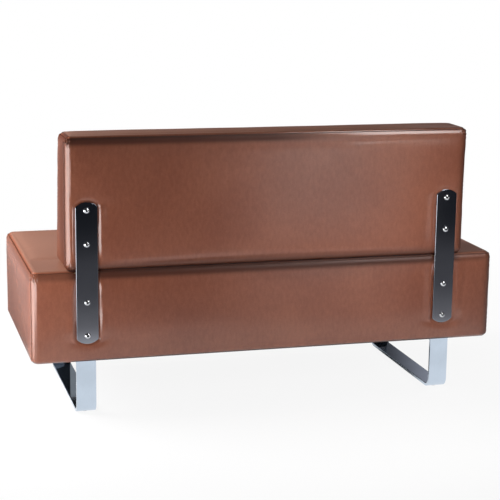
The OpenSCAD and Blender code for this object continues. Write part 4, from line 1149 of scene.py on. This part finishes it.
class SOFA_OT_studio(bpy.types.Operator):
    """Sets the floor, the world, the soft boxes and the camera"""

    bl_idname = "sofa.studio"
    bl_label = "Studio"

    def execute(self, context):
        studio = context.scene.sofa_studio
        context.scene.view_settings.view_transform = "Standard"
        self.camera(context, studio)
        self.floor(studio)
        self.world(context, studio)
        boxes = (
            ("left_soft_box", (2.1, -0.5, 1.35), (0.5, -0.1, 0.45), 1.2, 1.1, studio.side_light),
            ("right_soft_box", (-2.6, -0.3, 1.2), (-0.6, 0.0, 0.4), 1.2, 1.1, studio.right_light),
            ("rear_soft_box", (-0.37, 1.00, 0.56), (-0.34, 0.3, 0.48), 0.35, 0.35, studio.rear_light),
            ("top_soft_box", (-0.9, 0.35, 2.0), (-0.6, 0.2, 0.75), 0.5, 0.5, studio.top_light),
            ("front_soft_box", (0.3, -2.6, 2.6), (0.0, 0.0, 0.4), 2.4, 1.6, studio.front_light),
            ("corner_soft_box", (0.85, 0.66, 0.40), (0.60, 0.29, 0.38), 0.25, 0.25, studio.corner_light))
        for box in boxes:
            soft_box(*box)
        soft_box("top_card", (-0.96, 1.50, 1.78), (-0.66, 0.30, 1.10), 0.42, 2.1, studio.top_gleam,
                 light=False, gleam=True)
        return {"FINISHED"}

    @staticmethod
    def camera(context, studio):
        data = bpy.data.cameras.new("camera")
        data.lens, data.sensor_width, data.sensor_fit = studio.lens, 36.0, "HORIZONTAL"
        thing = bpy.data.objects.new("camera", data)
        context.scene.collection.objects.link(thing)
        thing.location = (1.09272, 3.96711, 1.24559)
        thing.rotation_euler = tuple(math.radians(a) for a in (77.996, -0.716, 164.488))
        context.scene.camera = thing

    @staticmethod
    def seen(f):
        """1 for rays of the camera or of glass, and 1 for rays of gloss. Both are 0 for the light that
        lands on things."""
        node = f.put("ShaderNodeLightPath").socket.node
        names = ("Is Camera Ray", "Is Transmission Ray", "Is Glossy Ray")
        camera, glass, glossy = (Wire(f, node.outputs[name]) for name in names)
        return camera + glass, glossy

    def floor(self, studio):
        """A round pale floor. It keeps the shadow near the sofa and runs out into plain white. Gloss sees it
        glow
        with painted light: white close behind the sofa and darker with the distance, dim before it, a pale
        strip behind the right half, a bright glowing patch, which is no lamp, behind and beyond its left end,
        and its matt self underneath."""
        turn = np.linspace(0, 2 * math.pi, 96, endpoint=False)
        radii = np.array([1.0, 2.0, 4.0, 9.0, 30.0])
        ring = np.stack([np.cos(turn), np.sin(turn), np.zeros(96)], -1)
        verts = (radii[:, None, None] * ring[None]).reshape(-1, 3)
        faces = grid_faces(5, 96)[:, ::-1].tolist() + [list(range(96))]
        thing = add_mesh("floor", verts, faces, smooth=False)
        material, f = new_finish("studio_floor")
        seen, glossy = self.seen(f)
        where = f.put("ShaderNodeTexCoord", out=3)
        across, along, _ = f.outputs("ShaderNodeSeparateXYZ", {0: where})
        x, y = f.maths("ABSOLUTE", across), f.maths("ABSOLUTE", along)

        # Behind the sofa the tone falls with the distance, which counts less across than along
        reach = f.maths("SQRT", x * x * 0.35 + y * y)
        rear_tone = f.put("ShaderNodeValToRGB", {"stops": [
            (0.0, (1.0, 1.0, 1.0)), (0.25, (0.98, 0.99, 1.0)), (0.295, (0.34, 0.33, 0.34)),
            (0.33, (0.30, 0.30, 0.31)), (0.40, (0.16, 0.16, 0.17)), (0.54, (0.13, 0.13, 0.14)),
            (0.62, (0.06, 0.063, 0.07)), (0.72, (0.025, 0.028, 0.034))]}, {0: reach / 4.0})

        # A pale strip, painted light that the rear faces mirror, behind the right half, along a line of
        # sight:
        # eye is the camera's mirror image in the rear faces, and bearing the slope of the line from there
        eye = (1.093, -3.387)
        bearing = (across - eye[0]) / (along - eye[1])
        strip = (1 - f.clamp(f.maths("ABSOLUTE", bearing + 0.335), 0.03, 0.09)) * f.clamp(along, 0.8, 1.3)
        rear_tone = f.blend(strip, rear_tone, (0.62, 0.60, 0.60, 1))
        front_tone = f.blend(f.clamp(across, 0.70, 0.95), (0.13, 0.13, 0.135, 1), (0.34, 0.34, 0.35, 1))
        pale = f.shine(f.blend(f.clamp(along, -0.5, 0.0), front_tone, rear_tone))
        # A glowing patch, painted light that stands in for a lamp, behind and beyond the left end, which the
        # left corners mirror
        lit = f.clamp(across, 0.95, 1.6) * f.clamp(along + across * 0.25, 0.30, 0.60)
        lit = lit * f.clamp(across * 1.75 - along, 0.45, 0.95)
        mirrored = f.mix(lit, pale, f.shine((1, 1, 1, 1), studio.side_gleam))
        shown = f.mix(seen, mirrored, f.shine((1, 1, 1, 1)))
        matt = f.put("ShaderNodeBsdfDiffuse", None, {"Color": (0.62, 0.62, 0.62, 1)})
        far = f.put("ShaderNodeVectorMath", {"operation": "LENGTH"}, {0: where}, out=1)
        under = (1 - f.clamp(x, 0.50, 0.66)) * (1 - f.clamp(y, 0.10, 0.25))
        share = seen * (0.90 + f.clamp(far, 1.0, 2.2) * 0.10) + glossy * (1 - under * 0.97)
        f.put("ShaderNodeOutputMaterial", None, {"Surface": f.mix(share, matt, shown)})
        dress(thing, material)

    def world(self, context, studio):
        """White to the eye. Things are lit by an even grey that is dimmer above. Gloss sees a dark studio
        with a pale wall before the sofa, which is dark again at the right but for a patch at its end."""
        world = bpy.data.worlds.new("studio")
        context.scene.world = world
        world.use_nodes = True
        f = Finish(world.node_tree)
        seen, glossy = self.seen(f)
        x, y, z = f.outputs("ShaderNodeSeparateXYZ", {0: f.put("ShaderNodeTexCoord", out=0)})
        wall = f.clamp(x, -0.28, -0.08) * f.clamp(z, 0.13, 0.19)
        front = f.blend(wall, (0.05, 0.05, 0.055, 1), (0.28, 0.29, 0.30, 1))
        corner = (1 - f.clamp(x, -0.385, -0.345)) * f.clamp(z, 0.20, 0.27)
        front = f.blend(corner, front, (0.36, 0.36, 0.40, 1))
        low = f.blend(f.clamp(y, -0.5, 0.3), front, (0.05, 0.05, 0.05, 1))
        tone = f.blend(f.clamp(z, 0.30, 0.75), low, (0.03, 0.03, 0.03, 1))
        grey = (studio.ambient,) * 3
        dim = f.blend(f.clamp(z, 0.0, 0.8), rgba(grey), rgba(grey, 0.45))
        shown = f.blend(seen, f.blend(glossy, dim, tone), (1, 1, 1, 1))
        back = f.put("ShaderNodeBackground", None, {"Color": shown, "Strength": 1.0})
        f.put("ShaderNodeOutputWorld", None, {"Surface": back})


class SOFA_PT_panel(bpy.types.Panel):
    """Lists the sofa's pieces in the sidebar"""

    bl_idname = "SOFA_PT_panel"
    bl_label = "Waiting sofa"
    bl_space_type = "VIEW_3D"
    bl_region_type = "UI"
    bl_category = "Sofa"

    def draw(self, context):
        for group in (context.scene.sofa_leather, context.scene.sofa_metal, context.scene.sofa_studio):
            box = self.layout.box()
            for name in group.bl_rna.properties.keys():
                if name not in ("rna_type", "name"):
                    box.prop(group, name)
        for operator in OPERATORS:
            self.layout.operator(operator.bl_idname)


OPERATORS = (SOFA_OT_leather, SOFA_OT_straps, SOFA_OT_screws, SOFA_OT_legs, SOFA_OT_inner, SOFA_OT_studio)
GROUPS = (SofaLeather, SofaMetal, SofaStudio)


def register():
    for kind in GROUPS + OPERATORS + (SOFA_PT_panel,):
        bpy.utils.register_class(kind)
    bpy.types.Scene.sofa_leather = PointerProperty(type=SofaLeather)
    bpy.types.Scene.sofa_metal = PointerProperty(type=SofaMetal)
    bpy.types.Scene.sofa_studio = PointerProperty(type=SofaStudio)


def unregister():
    del bpy.types.Scene.sofa_studio, bpy.types.Scene.sofa_metal, bpy.types.Scene.sofa_leather
    for kind in reversed(GROUPS + OPERATORS + (SOFA_PT_panel,)):
        bpy.utils.unregister_class(kind)


def main():
    register()
    bpy.ops.sofa.leather()
    bpy.ops.sofa.straps()
    bpy.ops.sofa.screws()
    bpy.ops.sofa.legs()
    bpy.ops.sofa.inner()
    bpy.ops.sofa.studio()


if __name__ == "__main__":
    main()
